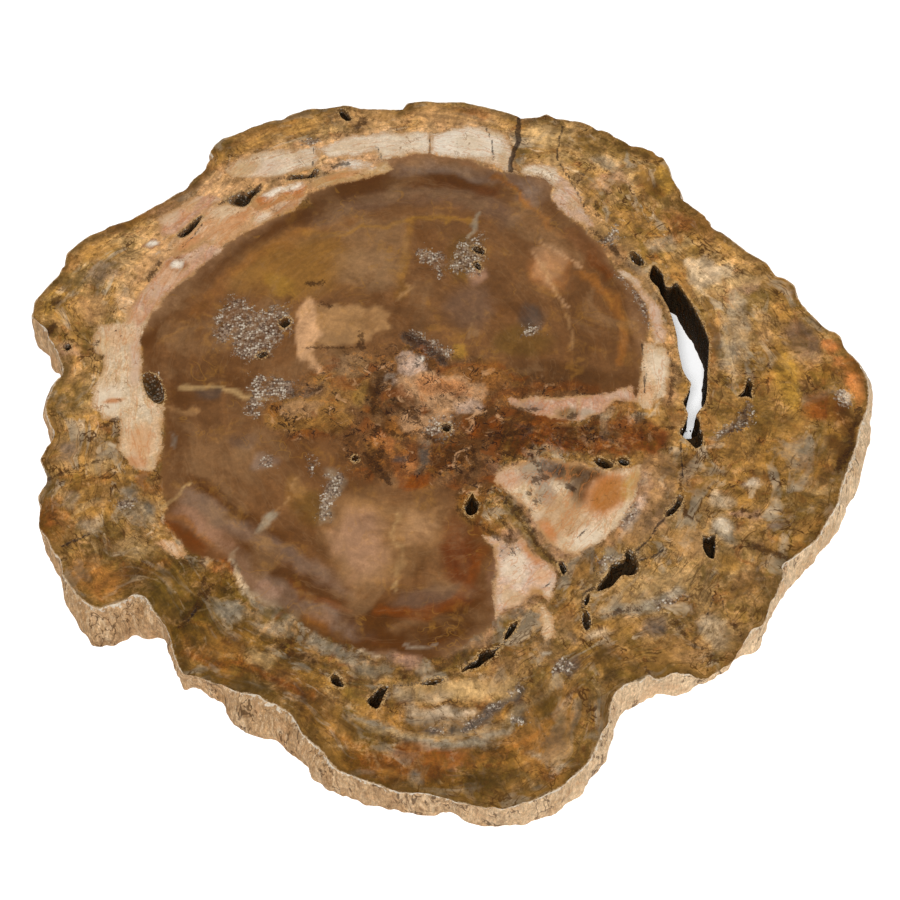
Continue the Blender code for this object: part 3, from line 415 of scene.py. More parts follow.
# Patches of the ground with a drawn outline: outline, softness of the edge, colour, strength.
PATCHES = shapes_of("""
    20 -4, 34 3, 50 0, 66 4, 78 2, 88 -6, 84 -14, 70 -14, 52 -14, 34 -11, 22 -14 | 2 deep_rust 0.85;
    74 -16, 88 -12, 90 -28, 84 -42, 74 -52, 62 -56, 58 -52, 68 -42, 74 -30 | 2.5 agate_tan 0.7;
    22 -1, 30 1, 36 -4, 30 -9, 22 -8 | 1 slate 0.7; 46 1, 58 0, 70 -4, 68 -8, 54 -7, 46 -3 | 1.4 umber 0.6;
    -54 125, -50 131, -30 134, -22 130, -26 124, -42 119, -54 116 | 1.6 peach 0.6;
    -98 121, -90 116, -84 118, -90 128, -96 128 | 2 tan 0.6;
    -96 92, -84 98, -72 106, -78 108, -90 102, -100 95 | 1.6 orange 0.5;
    -113 84, -106 90, -98 94, -100 97, -108 93, -115 87 | 1.2 orange 0.55;
    -124 96, -114 106, -102 114, -98 118, -106 112, -118 106, -126 100 | 1.4 rust 0.5;
    -140 92, -124 98, -106 112, -98 124, -100 128, -108 118, -124 104, -140 97 | 1.6 brown 0.75;
    36 84, 41 89, 49 82, 47 72, 42 63, 37 70 | 1.6 peach 0.4;
    60 100, 72 93, 82 84, 84 76, 78 76, 70 84, 62 92 | 2 olive 0.7;
    53 139, 66 137, 84 134, 84 132, 66 134, 54 137 | 1 moss 0.7;
    40 131, 52 135, 54 128, 48 124, 40 127 | 1.5 sand 0.6;
    62 121, 74 124, 78 118, 66 112, 58 115 | 1.6 pink 0.45;
    92 96, 98 101, 104 98, 100 88, 95 84 | 1.2 rust 0.5;
    98 76, 106 80, 112 74, 110 66, 102 62, 98 68 | 1.2 cream 0.7;
    84 88, 92 92, 98 86, 92 80, 85 82 | 1.2 ash 0.55;
    112 68, 124 70, 132 72, 130 67, 118 63, 111 63 | 1.2 sand 0.7; -126 40, -134 60, -124 84, -122 102,
    -106 116, -94 124, -88 132, -70 139, -50 143, -20 147, 10 150, 28 146, 30 122, 0 128, -30 126, -60 108,
    -92 80, -118 46 | 4 peach 0.6; 30 128, 44 130, 56 122, 64 104, 76 84, 90 62, 94 38, 94 12, 78 4, 76 38,
    70 70, 56 92, 42 112 | 3.5 peach 0.35;
    16 -18, 34 -17, 52 -19, 78 -20, 76 -34, 62 -52, 46 -60, 34 -76, 18 -86, 18 -52, 26 -36 | 3 pink 0.5;
    -60 52, -55 54, -47 55.5, -25 54, -23.5 44, -30 39, -48 33.5, -51 38 | 0.8 tan 0.85;
    -61 50, -57.5 60, -53 51, -50 41, -53 32, -46 22, -50 22, -58 30, -60.5 42 | 0.9 peach 0.9;
    -22 33, -19 34.8, -14 34, -8 27, -6 23, -15 21, -20 23 | 0.7 pale_pink 0.85;
    -20 22, -14 21.5, -4 23.5, 8 19.5, 14 17, 15 12, 4 6, -2 3, -14 9, -18 14 | 0.8 peach 0.85;
    -13 20, -2 21, 8 17, 12 13, 2 12, -8 13 | 1.4 orange 0.6;
    -16 4, -7 3, 0 6, 3 2, -2 -3, -10 -6, -17 -2 | 1.2 peach 0.6;
    -29 25, -24 24, -18 14, -15 9, -22 0, -29 3, -31 14 | 1 umber 0.8;
    -71 3, -68 10, -55 13.5, -40 10, -35 0, -42 -4, -55 -3, -68 -2 | 1.6 ochre 0.75;
    -66 6, -58 11, -48 9, -50 5, -60 3 | 1.2 peach 0.45;
    -50 28, -46 33, -34 33, -29 26, -33 20, -44 20 | 2 agate_tan 0.7;
    -29 -6, -25 -4, -20 -8, -21 -13, -27 -12 | 0.8 orange 0.8;
    -18 -18, -14 -18, -12 -22, -16 -23 | 0.6 orange 0.7;
    -24 1, -20 3, -17 -1, -19 -5, -23 -4 | 0.6 amber 0.8;
    -11 -10, 4 -9, 13 -12, 12 -22, 0 -25, -12 -23 | 2 umber 0.75;
    -10 -13, -6 -13, -6 -19, -9 -20 | 0.8 slate 0.8; -20 -14, -16 -14, -17 -19, -20 -18 | 0.8 slate 0.7;
    -19 -22, -12 -23, -5 -24, -6 -28, -14 -28, -19 -26 | 0.9 rust 0.9;
    8 2, 14 3, 19 -1, 17 -7, 10 -8, 7 -3 | 1 rust 0.85;
    18 -1, 24 1, 31 -2, 30 -10, 23 -12, 17 -8 | 1.2 umber 0.85;
    2 9, 9 11, 16 9, 14 5, 5 4 | 0.9 pale_pink 0.7; -71 4, -69 9.5, -64 9, -65 2 | 1 amber 0.8;
    -62 13, -56 16.5, -49 17, -50 14.5, -57 12 | 0.7 slate 0.8; 2 30, 8 31, 9 36, 3 37 | 1 yellow 0.6;
    5 11, 14 11, 14 15, 6 14.5 | 0.9 peach 0.7; -46 -48, -42 -36, -34 -31, -24 -33, -14 -36, -2 -38, -2 -48,
    -10 -60, -18 -68, -32 -69, -42 -62 | 6 tan 0.5;
    -42 -47, -36 -38, -28 -38, -24 -46, -22 -60, -26 -66, -34 -66, -41 -57 | 4.5 pink 0.4;
    -71 -46, -66 -45, -62 -39, -65 -37.6, -70 -42 | 0.8 ash 0.85;
    91 -84, 97 -80, 104 -84, 104 -92, 99 -96, 94 -92 | 1.4 cream 0.5;
    150 39, 155 40, 157 36, 151 34 | 0.8 orange 0.9; 153 31, 158 32, 159 27, 154 26 | 0.8 orange 0.8;
    158 24, 164 22, 166 12, 162 9, 158 16 | 1 orange 0.8;
    -16 -40, -8 -40, -4 -44, -8 -51, -15 -53 | 3 peach 0.35;
    79 122, 84 121, 88 116, 91 111, 86 110, 79 118 | 1.6 umber 0.65;
    19 -31, 23 -30.5, 30 -40, 37 -53, 44 -62, 42 -62, 36 -60, 26 -45, 19 -34 | 0.9 olive 0.85;
    -106 -43, -101 -46, -91 -54, -87.5 -57.5, -90 -59.5, -100 -51, -105 -47 | 0.9 rust 0.8;
    -120 -23, -117 -21, -112 -29, -114 -31.5, -120 -27 | 0.8 amber 0.9;
    -125 -32, -117 -33, -109 -37, -109 -45, -116 -43, -124 -40 | 2 ash 0.6;
    -18 -110, 0 -108, 20 -108.5, 27 -110, 22 -116.5, 0 -116, -20 -116 | 1.5 sand 0.5;
    -34 -84, -10 -87, 12 -80, 16 -86, 2 -96, -20 -96, -32 -92 | 3 umber 0.45;
    -88 -48, -70 -48, -50 -64, -40 -78, -58 -76, -74 -64 | 5 agate_dark 0.4;
    60 4.5, 75 4, 75 11, 66 11 | 0.8 brown 0.8; -98 11, -89 11, -89 16, -98 16 | 1.4 slate 0.5;
""")

# Soft lines in the ground: points, width, colour, strength.
STROKES = shapes_of("""
    # bands that follow the heart's outline
    -54 99, -42 106, -22 111, 0 112, 15 107, 26 99 | 9 agate_grey 0.5;
    -58 90, -40 92, -20 97, 0 99.5, 12 97 | 1.8 gold 0.6; -18 60, -17 78, -16 97 | 4 gold 0.35;
    9.6 91, 11 96, 13.4 102 | 1.3 ash 0.7;
    -54 114, -40 118, -24 122, -8 119, 8 117, 20 112 | 4.6 deep_rust 0.55;
    38 89, 44 84, 50 78, 56 74 | 1.2 peach 0.6; 36 82, 40 74, 44 62, 50 54 | 1 peach 0.6; -120 40, -113 55,
    -104 66, -94 79, -85 87, -72 95, -60 99, -50 108, -35 115, -10 120, 12 119 | 9 agate_dark 0.75;
    -20 123, -8 126, 4 125.5, 14 122, 26 119, 36 114 | 6.5 lilac 0.6;
    -22 130, -8 131.5, 4 130.5, 13 127 | 2 rust 0.8; -40 108, -20 112, 0 112, 16 106 | 4 agate_tan 0.25;
    20 121, 27 115, 33 107, 40 99, 48 90 | 2.6 amber 0.8;
    44 96, 55 84, 63 74, 70 64, 74 52, 74 40 | 5 agate_dark 0.55;
    55 72, 66 60, 70 48, 70 38, 69 28 | 3.6 amber 0.65; 38 79, 45 62, 50 48, 50 33 | 1.2 tan 0.5;
    12 52, 10 40 | 1.2 agate_tan 0.6; -16 66, -18 58 | 1.4 tan 0.7;
    -100 52, -92 66, -78 80, -60 90, -40 98 | 5 amber 0.25;
    -109 30, -104 10, -104 -10, -101 -28 | 5 agate_dark 0.35;
    # lower agate lobe
    -99 -24, -88 -33, -76 -42, -62 -50 | 6 agate_dark 0.7;
    -99 -33, -90 -38, -82 -45, -70 -50, -58 -58, -47 -66, -36 -73 | 7 lilac 0.45;
    -101 -40, -92 -46, -84 -53, -78 -58 | 7 pink 0.4; -105 -45, -96 -52, -86 -58, -80 -62 | 4.4 rust 0.7;
    -104 -41, -95 -47, -87 -54 | 2 amber 0.6;
    -74 -57, -64 -62, -52 -69, -40 -76, -26 -82, -8 -86 | 8 agate_dark 0.75;
    -76 -61, -68 -69, -60 -74, -50 -79, -40 -84, -33 -88 | 7 lilac 0.6;
    -76 -62, -71 -69, -64 -74 | 4.4 pink 0.5; -58 -70, -46 -77, -36 -81 | 2.6 rust 0.6;
    -36 -84, -22 -89, -8 -90, 6 -86, 12 -78 | 6 agate_dark 0.85;
    -26 -80, -12 -82, 2 -79, 10 -68, 13 -54 | 4 rust 0.65;
    -60 -30, -52 -45, -46 -58, -40 -68, -28 -74 | 4 agate_dark 0.45;
    -78 -57, -80 -60, -77 -66, -73 -72 | 2 cream 0.75; -107 -37, -103 -33, -98 -27 | 1.2 sand 0.8;
    -57 -25, -60 -33, -63 -38 | 1 tan 0.6; -19 -40, -18 -52, -17.5 -63, -19 -72 | 1.2 sand 0.6;
    -14 -93.3, -3 -93.8 | 1.6 ivory 0.9; -30 -97, -24 -99 | 1.4 cream 0.7;
    # thin pale veins in the west of the heart
    -105 15.5, -97 17, -91 16.5, -85 13, -78 12, -72 12 | 2 sand 0.7; -110 7, -104 7, -98 5 | 2 tan 0.6;
    -106 -3, -105.5 -10 | 1.4 bluish 0.7;
    # the middle
    -14 26, -10 30.5 | 2.6 white 0.95; -16 41, -8 36, -1 28 | 3.6 slate 0.8;
    -11 -22, -8 -14, -7 -8 | 2.2 ash 0.6; -43 -22, -41 -28, -46 -41 | 4 ash 0.5;
    -24 19.5, -23 21 | 3.4 white 0.9; -20.5 16.5, -19.5 18.5 | 2.4 pale_pink 0.9;
    -3 24, 6 27, 18 25, 30 20 | 2 rust 0.5; 16 8, 24 14, 40 16, 60 17 | 3 rust 0.4;
    -12 7, -8 3, -3 0 | 1.6 soot 0.9; -60 7, -52 5, -42 6 | 1 rust 0.7; -66 0, -56 1, -46 -1 | 1.2 rust 0.6;
    # south lobe
    7 -125.5, 12 -123.5, 16 -121 | 3.6 slate 1; 17 -119.5, 22 -116, 27 -111 | 3.6 slate 0.95;
    -30 -122, -20 -128, -6 -132, 8 -132, 20 -127, 28 -119 | 3.4 ash 0.8;
    -12 -119.5, 0 -121, 10 -120 | 3.6 cream 0.7; -28 -124, -22 -127 | 3 bluish 0.8;
    60 -80, 70 -78.5, 80 -77, 86 -72 | 5.4 ash 0.7; -96 -96, -80 -102, -64 -106, -48 -114 | 3 rust 0.55;
    118 9, 115 2, 109 -3, 104 -6 | 2.4 slate 0.75; -49 -93, -40 -97, -30 -103, -24 -105 | 5 ash 0.75;
    -60 -94, -50 -100, -40 -103, -30 -108.5, -22 -106.5, -10 -105, 2 -102 | 1.8 umber 0.8;
    -52 -104, -40 -111, -30 -120, -12 -125, 6 -124 | 2.2 gold 0.5;
    -34 -122, -20 -129, 0 -129.5, 16 -126, 30 -118, 40 -108 | 2 sand 0.6;
    -42 -128, -20 -137, 2 -140, 22 -135, 38 -124, 48 -110 | 2.4 amber 0.5;
    35 -97.5, 37.5 -96.8 | 1.2 ivory 0.8; 62 -81, 71 -78.6, 81 -77, 86 -71 | 3.4 ash 0.85;
    # outer wood
    -148 88, -128 97, -112 110, -102 122 | 4 umber 0.4; -105 122, -98 134, -84 143, -64 151 | 3 brown 0.5;
    -150 60, -142 66, -134 74, -128 84 | 3 moss 0.4; 74 -34, 70 -40, 68 -46 | 3 white 0.8;
    52 92, 60 82, 66 72 | 7 rust 0.7; 60 95, 66 87, 72 80, 78 73, 83 64, 88 55, 90.5 48 | 3.6 moss 0.8;
    113 88, 119 78, 127 70, 133 60, 137 50 | 3 ochre 0.5; 96 122, 104 107, 112 96, 122 84 | 2 umber 0.4;
    118 66, 124 50, 126 30, 124 14 | 3 olive 0.5; 150 30, 152 16, 150 2, 146 -12, 138 -28 | 3 gold 0.4;
""")

# Pale pieces of silicified wood with a crisp edge: outline and colour.
PALE_PIECES = shapes_of("""
    # west ring
    -128 52, -130 47, -139 46, -141 40, -140 33, -136 31, -136 22, -139.5 16, -139 9, -136 5, -133 2, -127 2,
    -126 -2, -127 -12, -123 -17, -120 -21, -112 -22, -109.6 -12, -109.8 0, -110.6 10, -120 23, -120.6 31,
    -122.8 38, -119.5 50, -122 54 | cream;
    # north west ring
    -128 52, -126 58, -124 62, -119 70, -116 75, -112 80, -106 83, -100 87, -92 84, -94 81.5, -99.8 75,
    -103.4 70, -108.4 66, -113.4 60, -119.5 50, -124 46 | pink;
    # slot strip
    -112 80, -106 83, -100 87, -92 84.5, -86 90.4, -78 95.6, -70 100.6, -62 103.6, -58 111, -62 112, -70 109,
    -78 104.5, -84 106.5, -92 107, -100 104, -106 94, -112 87 | peach;
    # slot bank
    -118 90, -111 91, -106 97, -100 103, -94 109, -98 112, -106 110, -113 104, -120 98 | pink;
    # lens bed
    -82 104, -76 105, -68 108, -60 111, -57 116, -62 118.5, -70 116, -76 113, -80.5 109 | orange;
    # north west field
    -93 124, -88 129, -82 133, -70 135, -56 137, -54 131, -55 126.5, -66 122.6, -80 120, -90 120 | cream;
    # north block
    -7 144, 0 145, 3 147, 8 148, 14 148.3, 18 147, 22 145.5, 25 143, 27.5 139, 28.4 134, 27.4 129, 27.2 124,
    25.5 123, 23 125, 20 127, 16 128.6, 10 130.3, 0 132, -7 132.8 | ivory;
    # north west block
    -56 135, -50 139, -46 140, -42 143, -39 144, -32 143, -27 144.5, -12 144.8, -7 144, -7 133, -20 132,
    -28 130, -31 135, -38 131.5, -50 131 | cream;
    # north west band
    -56 119.5, -50 121, -45 123.5, -34 126, -25.5 129.4, -22.5 125, -28 121.6, -42 117.6, -53 114.4,
    -57 116 | sand;
    # north east crescent
    31 124, 34 127, 40 127.8, 46 125, 50 119, 52 114, 47 111, 45 115, 42 119, 36 121, 31 122.5 | ivory;
    # north east strip
    44.3 109, 45 113.5, 47.5 117.5, 49 120, 53 115, 57 110, 56 106, 57 102.5, 60 99, 61 95, 58 94, 50 101,
    46.5 104.5 | pale_pink;
    # east strip
    69.4 73, 72.5 73, 78 67.5, 80 63, 83 58, 85.6 54, 87 49, 87.6 44, 88 38, 83 36, 82.5 41, 82 48, 80.6 54,
    77 63 | pale_pink;
    # east block
    79 38, 82.5 36.5, 88 34, 89.5 30, 88 22, 86 13, 82 9.5, 79.5 6, 73.5 10, 75 14, 77 20, 77.6 27, 78.2 34 |
    cream;
    # middle band
    24 11, 36 12, 45 11.4, 58 13.4, 66 15, 73.6 17, 74 10, 67 11, 60 3.6, 52 1.6, 45 2, 36 4, 26 7.6 | pink;
    # upper wedge
    19.5 -22, 22 -20.5, 30 -18, 36 -15, 42 -16, 50 -18, 57 -21, 64 -21, 75 -18.6, 74 -28, 70 -37, 64.4 -45,
    56 -53, 48 -57.6, 41 -53.4, 35 -46, 31 -37, 24 -30.5, 19 -26 | cream;
    # lower wedge
    14.5 -49.5, 18 -49, 25 -54, 28 -50, 32 -56, 38 -60.5, 41.8 -66, 41 -70, 38 -76, 33 -71.5, 28 -77,
    20 -80.5, 18.6 -84, 17.6 -74, 19.4 -64, 18 -56 | pale_pink;
    # south west wedge
    -109 -52.5, -106 -50.5, -99 -53.5, -96 -57, -97 -59.3, -104 -57 | peach;
    # eye one
    -126 85, -121 88.6, -116.6 86, -121 82.6 | rust;
    # eye two
    -114 75, -110 78.6, -106 75.4, -110 71.8 | rust;
    # eye three
    -121.4 80.4, -119 79, -116.6 81.6, -118 82.2, -119.2 80.8 | white;
    # white lens
    -76.5 111.5, -72 114, -66 117, -61 118.3, -63 116, -68 113.5, -72 111.3 | white;
    # grey lens
    -48 125, -46 128, -42 129.8, -36 129.3, -31 128.5, -30.5 126.5, -40 125 | white;
    # rim quartz
    153.5 12, 156.5 16, 159.5 12.6, 157.6 8, 155 10 | ivory;
    # south pale vein
    33 -79, 36 -77.6, 38.4 -82, 40 -90, 36 -93, 34.4 -87 | cream;
""")

# Tints on the pale pieces: middle, half width and half height, turn in degrees, colour, strength.
PALE_CLOUDS = shapes_of("""
    5 139, 22 10 | 0 white 0.8; -35 137, 26 9 | 6 white 0.55; -66 128, 20 8 | 12 white 0.4;
    -90 96, 11 3.6 | 38 orange 0.7; -106 86, 7 3 | 42 orange 0.6; -66 104, 8 3 | 20 rust 0.4;
    -112 98, 8 3 | 40 orange 0.45; -44 121, 10 2 | 14 orange 0.6; -76 126, 8 4 | 15 pale_pink 0.7;
    -132 11, 7 8 | 0 ivory 0.9; -123 30, 3 16 | 4 pale_pink 0.8; -131 40, 8 6 | 0 peach 0.5;
    -137 36, 3 6 | 0 sand 0.5; -118 -8, 6 9 | 0 peach 0.9; -120 -18, 6 4 | 0 orange 0.7;
    -110 18, 3 6 | -20 sand 0.8; -125 50, 5 5 | 0 peach 0.5; -113 70, 7 6 | 40 peach 0.6;
    -104 80, 7 3 | 40 pale_pink 0.6; -118 62, 4 6 | 30 pale_pink 0.7; -92 103, 8 4 | 15 cream 0.8;
    -92 94, 9 5 | 40 peach 0.7; -76 99, 4.5 3.4 | 30 ivory 0.8; -58 107, 4 3 | 30 ivory 0.8;
    -116 100, 6 5 | 30 cream 0.7; -108 107, 6 4 | 40 sand 0.6; -68 128, 14 5 | 12 ivory 0.4;
    -84 125, 8 4 | 20 sand 0.6; -64 120, 9 2.4 | 15 tan 0.6; -40 137, 12 4 | 10 cream 0.6;
    -18 138, 10 5 | 0 ivory 0.6; -30 133, 4 3 | 0 sand 0.5; 10 139, 8 7 | 0 ivory 0.8;
    24 130, 3 6 | 0 sand 0.5; 20 145, 7 2.4 | -20 sand 0.6; 54 108, 4 6 | -20 sand 0.5;
    74 69, 4 4 | 0 ivory 0.6; 84 50, 3 8 | 10 pale_pink 0.7; 84 26, 5 8 | 0 ivory 0.8;
    79 14, 4 5 | 0 peach 0.7; 88 20, 2 8 | 0 sand 0.6; 31 7.6, 8 3 | -5 lilac 0.7;
    47 4.4, 5.5 2.6 | 0 olive 0.75; 55 4.4, 4 2.4 | 0 ash 0.7; 67 13, 6 2 | 8 pale_pink 0.7;
    34 -21, 8 8 | 0 lilac 0.7; 47 -21.5, 13 6.5 | -10 brown 0.95; 41 -19, 7 4 | -14 slate 0.9;
    51 -30, 4.6 8.5 | -12 umber 0.95; 54 -23, 8.5 5 | -10 umber 1; 44 -21, 3.4 3.4 | 0 soot 0.85;
    38 -31, 4 7 | 20 lilac 0.7; 33 -19, 4 4 | 0 ash 0.8; -121 85.8, 3.4 1.9 | 15 white 1;
    -110 75.3, 3 2.1 | 15 white 1; 24 -25, 6 5 | 0 pink 0.7; -130 10.6, 5.5 0.9 | 6 orange 0.85;
    36 -30, 3 5 | 0 ash 0.5; 44 -42, 11 11 | 20 tan 0.75; 61 -31, 8 12 | -38 orange 0.9;
    61 -32, 6 11 | -38 amber 0.95; 71 -27, 3.4 9 | -24 yellow 0.7; 38.5 -47.5, 2.6 7 | 32 orange 0.85;
    53 -50, 7 5 | 40 ivory 0.85; 66 -41, 6 2.4 | 52 cream 0.5; 45 -53, 4 4 | 0 cream 0.6;
    25 -62, 5 7 | 0 ivory 0.75; 32 -57, 3 7 | 42 orange 0.85; 36 -66, 4 3.4 | 0 peach 0.7;
    34 -73, 4 3 | 0 gold 0.9; 24 -75, 5 4 | 0 sand 0.6; 22 -56, 3 3 | 0 lilac 0.5; 38 -72, 2 3 | 0 ivory 0.6;
""")

# Dark mineral with a ragged edge: points of a line and its width, or of an outline with width 0.
DARK_MARKS = shapes_of("""
    33 -16, 36 -20, 34 -26, 38 -24 | 1.6; 32 -31, 35 -35, 33 -38 | 1.4; 47 -28, 49 -30 | 2;
    21 -32, 25 -38, 31 -47, 37 -56, 42 -61 | 1.5; 24 -33, 31 -42, 35 -50 | 0.8;
    20 -41, 24 -48, 22 -55, 25 -57 | 1; -29 3, -27 12, -26 20 | 1.8; -21 10, -15 5, -8 -1 | 1.6;
    -16 41, -8 37, -1 29 | 3.2; -90 -66, -90.5 -74, -94 -81, -98 -87 | 0.9; 84 -84, 88 -92, 98 -100 | 0.9;
    105 -84, 109 -92 | 0.9; -60 14, -54 15.4, -49 16 | 1.2; -56 66, -50 67 | 2; -51 56, -48 55 | 1.4;
    -34 42, -34 37 | 1.8; -55 35, -40 34.6, -30 36 | 0.7; -74 32, -71 31 | 2;
    -24 -3, -17 -6, -10 -4, -4 -8, 4 -6 | 1.2; -31 -14, -26 -20, -22 -26 | 2.4; -30 -24, -24 -12 | 1.4;
    -27 -2, -30 -10, -27 -16 | 1.4; 18 -6, 28 -4, 33 -2 | 2.6; 20 -12, 27 -14 | 2.4;
    10 -10, 11 -18, 8 -24 | 1.6; 0 -10, 6 -18 | 1.2; 5 -38, 9 -43, 16 -46, 20 -52 | 1.2; 6 -30, 4 -36 | 1;
    44.6 -4.8, 46.4 -6.2, 50 -6.6 | 1.1; 84.6 -10, 86.4 -11.6 | 1.8; 80 -3, 88 -2 | 1;
    117 7, 115.5 -1, 108 -5 | 1.8; 114 -53, 120 -56, 127 -58 | 2.6;
    107 -39, 112 -37.6, 118 -39.4, 112 -41.6, 107.4 -40 | 0.5; 157 -3, 161 2, 162 7 | 2.6;
    150 -20, 156 -12, 158 -4 | 2; 61 -81.6, 66 -79.5, 72 -79 | 1.6; 44 -106, 40 -104 | 1;
    71.5 -100.5, 73.5 -105 | 0.9; -152 -25, -146 -21, -138 -18.4, -130 -16 | 1.1; -144 -59.5, -143 -59 | 1.8;
    -93 -82, -90 -77, -87 -70 | 1; -62 -92, -56 -97 | 1.4; -134 -1, -128 2.4 | 1.8; -139.6 37, -139 38 | 1.4;
    -121 68, -119.4 72, -117.4 75.6 | 1.8; -38 148, -36 151 | 3.2; -160 55, -158 59 | 3;
    -159.5 42, -157.6 46 | 3.2; -95 106.6, -88 110, -80 116 | 1; -70 120, -60 120.4, -50 123 | 1;
    61 93, 68 84.6, 75 76 | 1.4; 84 62, 88 54 | 1; 88.6 34, 90 28, 89 18, 87 8 | 1.2;
    92 -14, 91 -22, 89 -30 | 1; -47 126.6, -42 127.4 | 2.2; 46.6 3.2, 50.4 3.4 | 1.8; 28 6, 36 6.4 | 1.4;
    63 100, 62 108 | 1.2; 55 118, 60 124 | 1.2;
""")

# Fine open cracks: points and width.
CRACKS = shapes_of("""
    31.5 152, 30.5 145, 31 140, 29 135, 27.4 129, 27.2 123.6 | 2; 17 147, 19.5 140, 19.5 129 | 0.7;
    4.5 140, 5 135 | 0.5; -30 137, -28 133, -27 129.5 | 0.8; -133 44, -130 40 | 0.5;
    88 -33, 84 -40, 80 -45, 76.5 -50.5, 71 -56 | 0.9; 81 -55, 77 -58.6, 71 -60 | 0.8; 48 -52, 53 -46 | 0.5;
    36.4 -70.6, 39 -69 | 0.6; -144 -54, -138 -51, -134 -48 | 0.9;
    50 150, 48 140, 47 130, 52 119, 57 105 | 0.9; -95 -85, -92 -80 | 0.8; 78 37, 79 24, 77.6 14 | 0.8;
    92 -6, 90 -14, 91 -24 | 0.7; 50.6 -79, 51.6 -73, 55 -71 | 1.2; 22 -92, 18 -95 | 0.9;
    -20 -110, -9 -109 | 0.7; 55 -62, 57 -68 | 0.6; -57 137, -56 131, -57 126 | 0.5; -7.4 145, -7 133 | 0.5;
    -100 88, -96 84 | 0.4; -109 84, -104 90, -101 96 | 0.6; 102 -76, 104 -84 | 0.6; 96 -82, 99 -74 | 0.5;
""")

# Drusy quartz, grey and sparkling, flush with the polished face: outlines.
DRUSE = shapes_of("""
    -94 44, -92 52, -88 60, -82 58, -76 52, -68 55, -64 57, -62 50, -62.6 43, -68 38, -70 31, -78 29, -84 32,
    -86 40, -92 36; -12 84, -6 83, -1 81, 0.4 74, -3 70, -7 75, -10.6 77;
    -76 22, -72 22, -71 12, -74 2, -79 5, -78 12; -119.8 22, -117 12, -112 8, -109.8 11, -112 19, -116 23.4;
    -45 -22, -39 -21, -41 -30, -45 -42, -49 -41, -46 -28; -53.5 -16, -50.6 -14.6, -49 -20, -51.6 -23;
    -70 -14, -66.6 -15, -67 -20, -71 -19; 70 -34, 75 -34.4, 71 -42, 68 -47, 66 -45;
    1 74, 4 86, 15 91, 16 80, 12 70; -6 -125, -2 -124.4, -1.4 -127.6, -5 -128.4;
    5 -124, 12 -122, 14 -124.8, 7 -127; 15 -119, 21 -116, 27.4 -110.4, 25 -110, 20 -115, 15 -121.4;
    23.6 -122, 29 -120.8, 28.8 -123.2, 24 -123.8; 38 -102, 42 -99.6, 46.6 -102, 44 -106, 39 -106;
    56 -58, 62 -57, 66 -58, 66 -61, 58 -66; -64 10, -58 18, -68 22, -73 14;
    -16 43, -8 41, 2 33, 1 28, -5 31, -12 37; 118 10, 121 6, 118 -1, 110 -5, 104 -7, 104 -3, 110 -1, 115 3;
    63 87, 70 95, 72 90, 66 83; 31 41, 38 41, 38 46, 31 46;
    69.4 73, 76 63, 80.4 54, 82 45, 80 45, 78 54, 74 63, 68.6 71; -6 2, 2 4, 4 -3, -2 -8, -8 -4;
    152 16, 158 15, 159 8, 154 8; -126 -33, -118 -33, -118 -37, -125 -38; 76 -76, 88 -74, 84 -79, 77 -79;
    -60 142, -54 140, -56 136, -62 138; 20 -56, 26 -54, 28 -57, 22 -58.6;
""")

# The country of broken fragments in the middle of the heart.
BROKEN_MIDDLE = points_of("""
    -62 18, -48 30, -30 36, -12 42, 4 34, 24 22, 48 18, 74 12, 80 -6, 60 -14, 34 -18, 22 -36, 10 -40, 2 -30,
    -16 -26, -38 -24, -42 -8, -66 -6, -72 8
""")


class StoneSettings(bpy.types.PropertyGroup):
    """Sizes and finish of the stone."""

    grain_step: FloatProperty(
        name="Face step", description="Spacing of the points on the polished face", default=1.15 * MM,
        min=0.5 * MM, unit="LENGTH", precision=4,
    )
    floor_step: FloatProperty(
        name="Underside step", description="Spacing of the points on the sawn underside", default=3.5 * MM,
        min=1.0 * MM, unit="LENGTH", precision=4,
    )
    rim_steps: IntProperty(
        name="Rim steps", description="Points around the rim of the polished face", default=1100, min=200,
    )
    edge_roughness: FloatProperty(
        name="Edge roughness", description="How far the broken edge stands in and out", default=0.8 * MM,
        min=0.0, unit="LENGTH", precision=4,
    )
    polish: FloatProperty(
        name="Polish", description="Roughness of the polished face", default=0.2, min=0.0, max=1.0,
        subtype="FACTOR",
    )
    edge_colour: FloatVectorProperty(
        name="Edge colour", description="Colour of the broken edge", subtype="COLOR", size=3,
        default=(0.52, 0.315, 0.155), min=0.0, max=1.0,
    )
    # Painted shade: the near-black that the lining turns to deep in the vugs.
    vug_shade_colour: FloatVectorProperty(
        name="Vug colour", description="Colour deep inside the vugs", subtype="COLOR", size=3,
        default=(0.030, 0.018, 0.008), min=0.0, max=1.0,
    )


class QuartzSettings(bpy.types.PropertyGroup):
    """The small crystals inside the vugs."""

    count_per_mm: FloatProperty(
        name="Crystals per millimetre", description="Crystals along each millimetre of a vug's outline",
        default=0.6, min=0.1,
    )
    length: FloatProperty(
        name="Crystal length", description="Length of a typical crystal", default=1.0 * MM, min=0.2 * MM,
        unit="LENGTH", precision=4,
    )
    colour: FloatVectorProperty(
        name="Quartz colour", description="Colour of the crystals", subtype="COLOR", size=3,
        default=(0.44, 0.34, 0.23), min=0.0, max=1.0,
    )


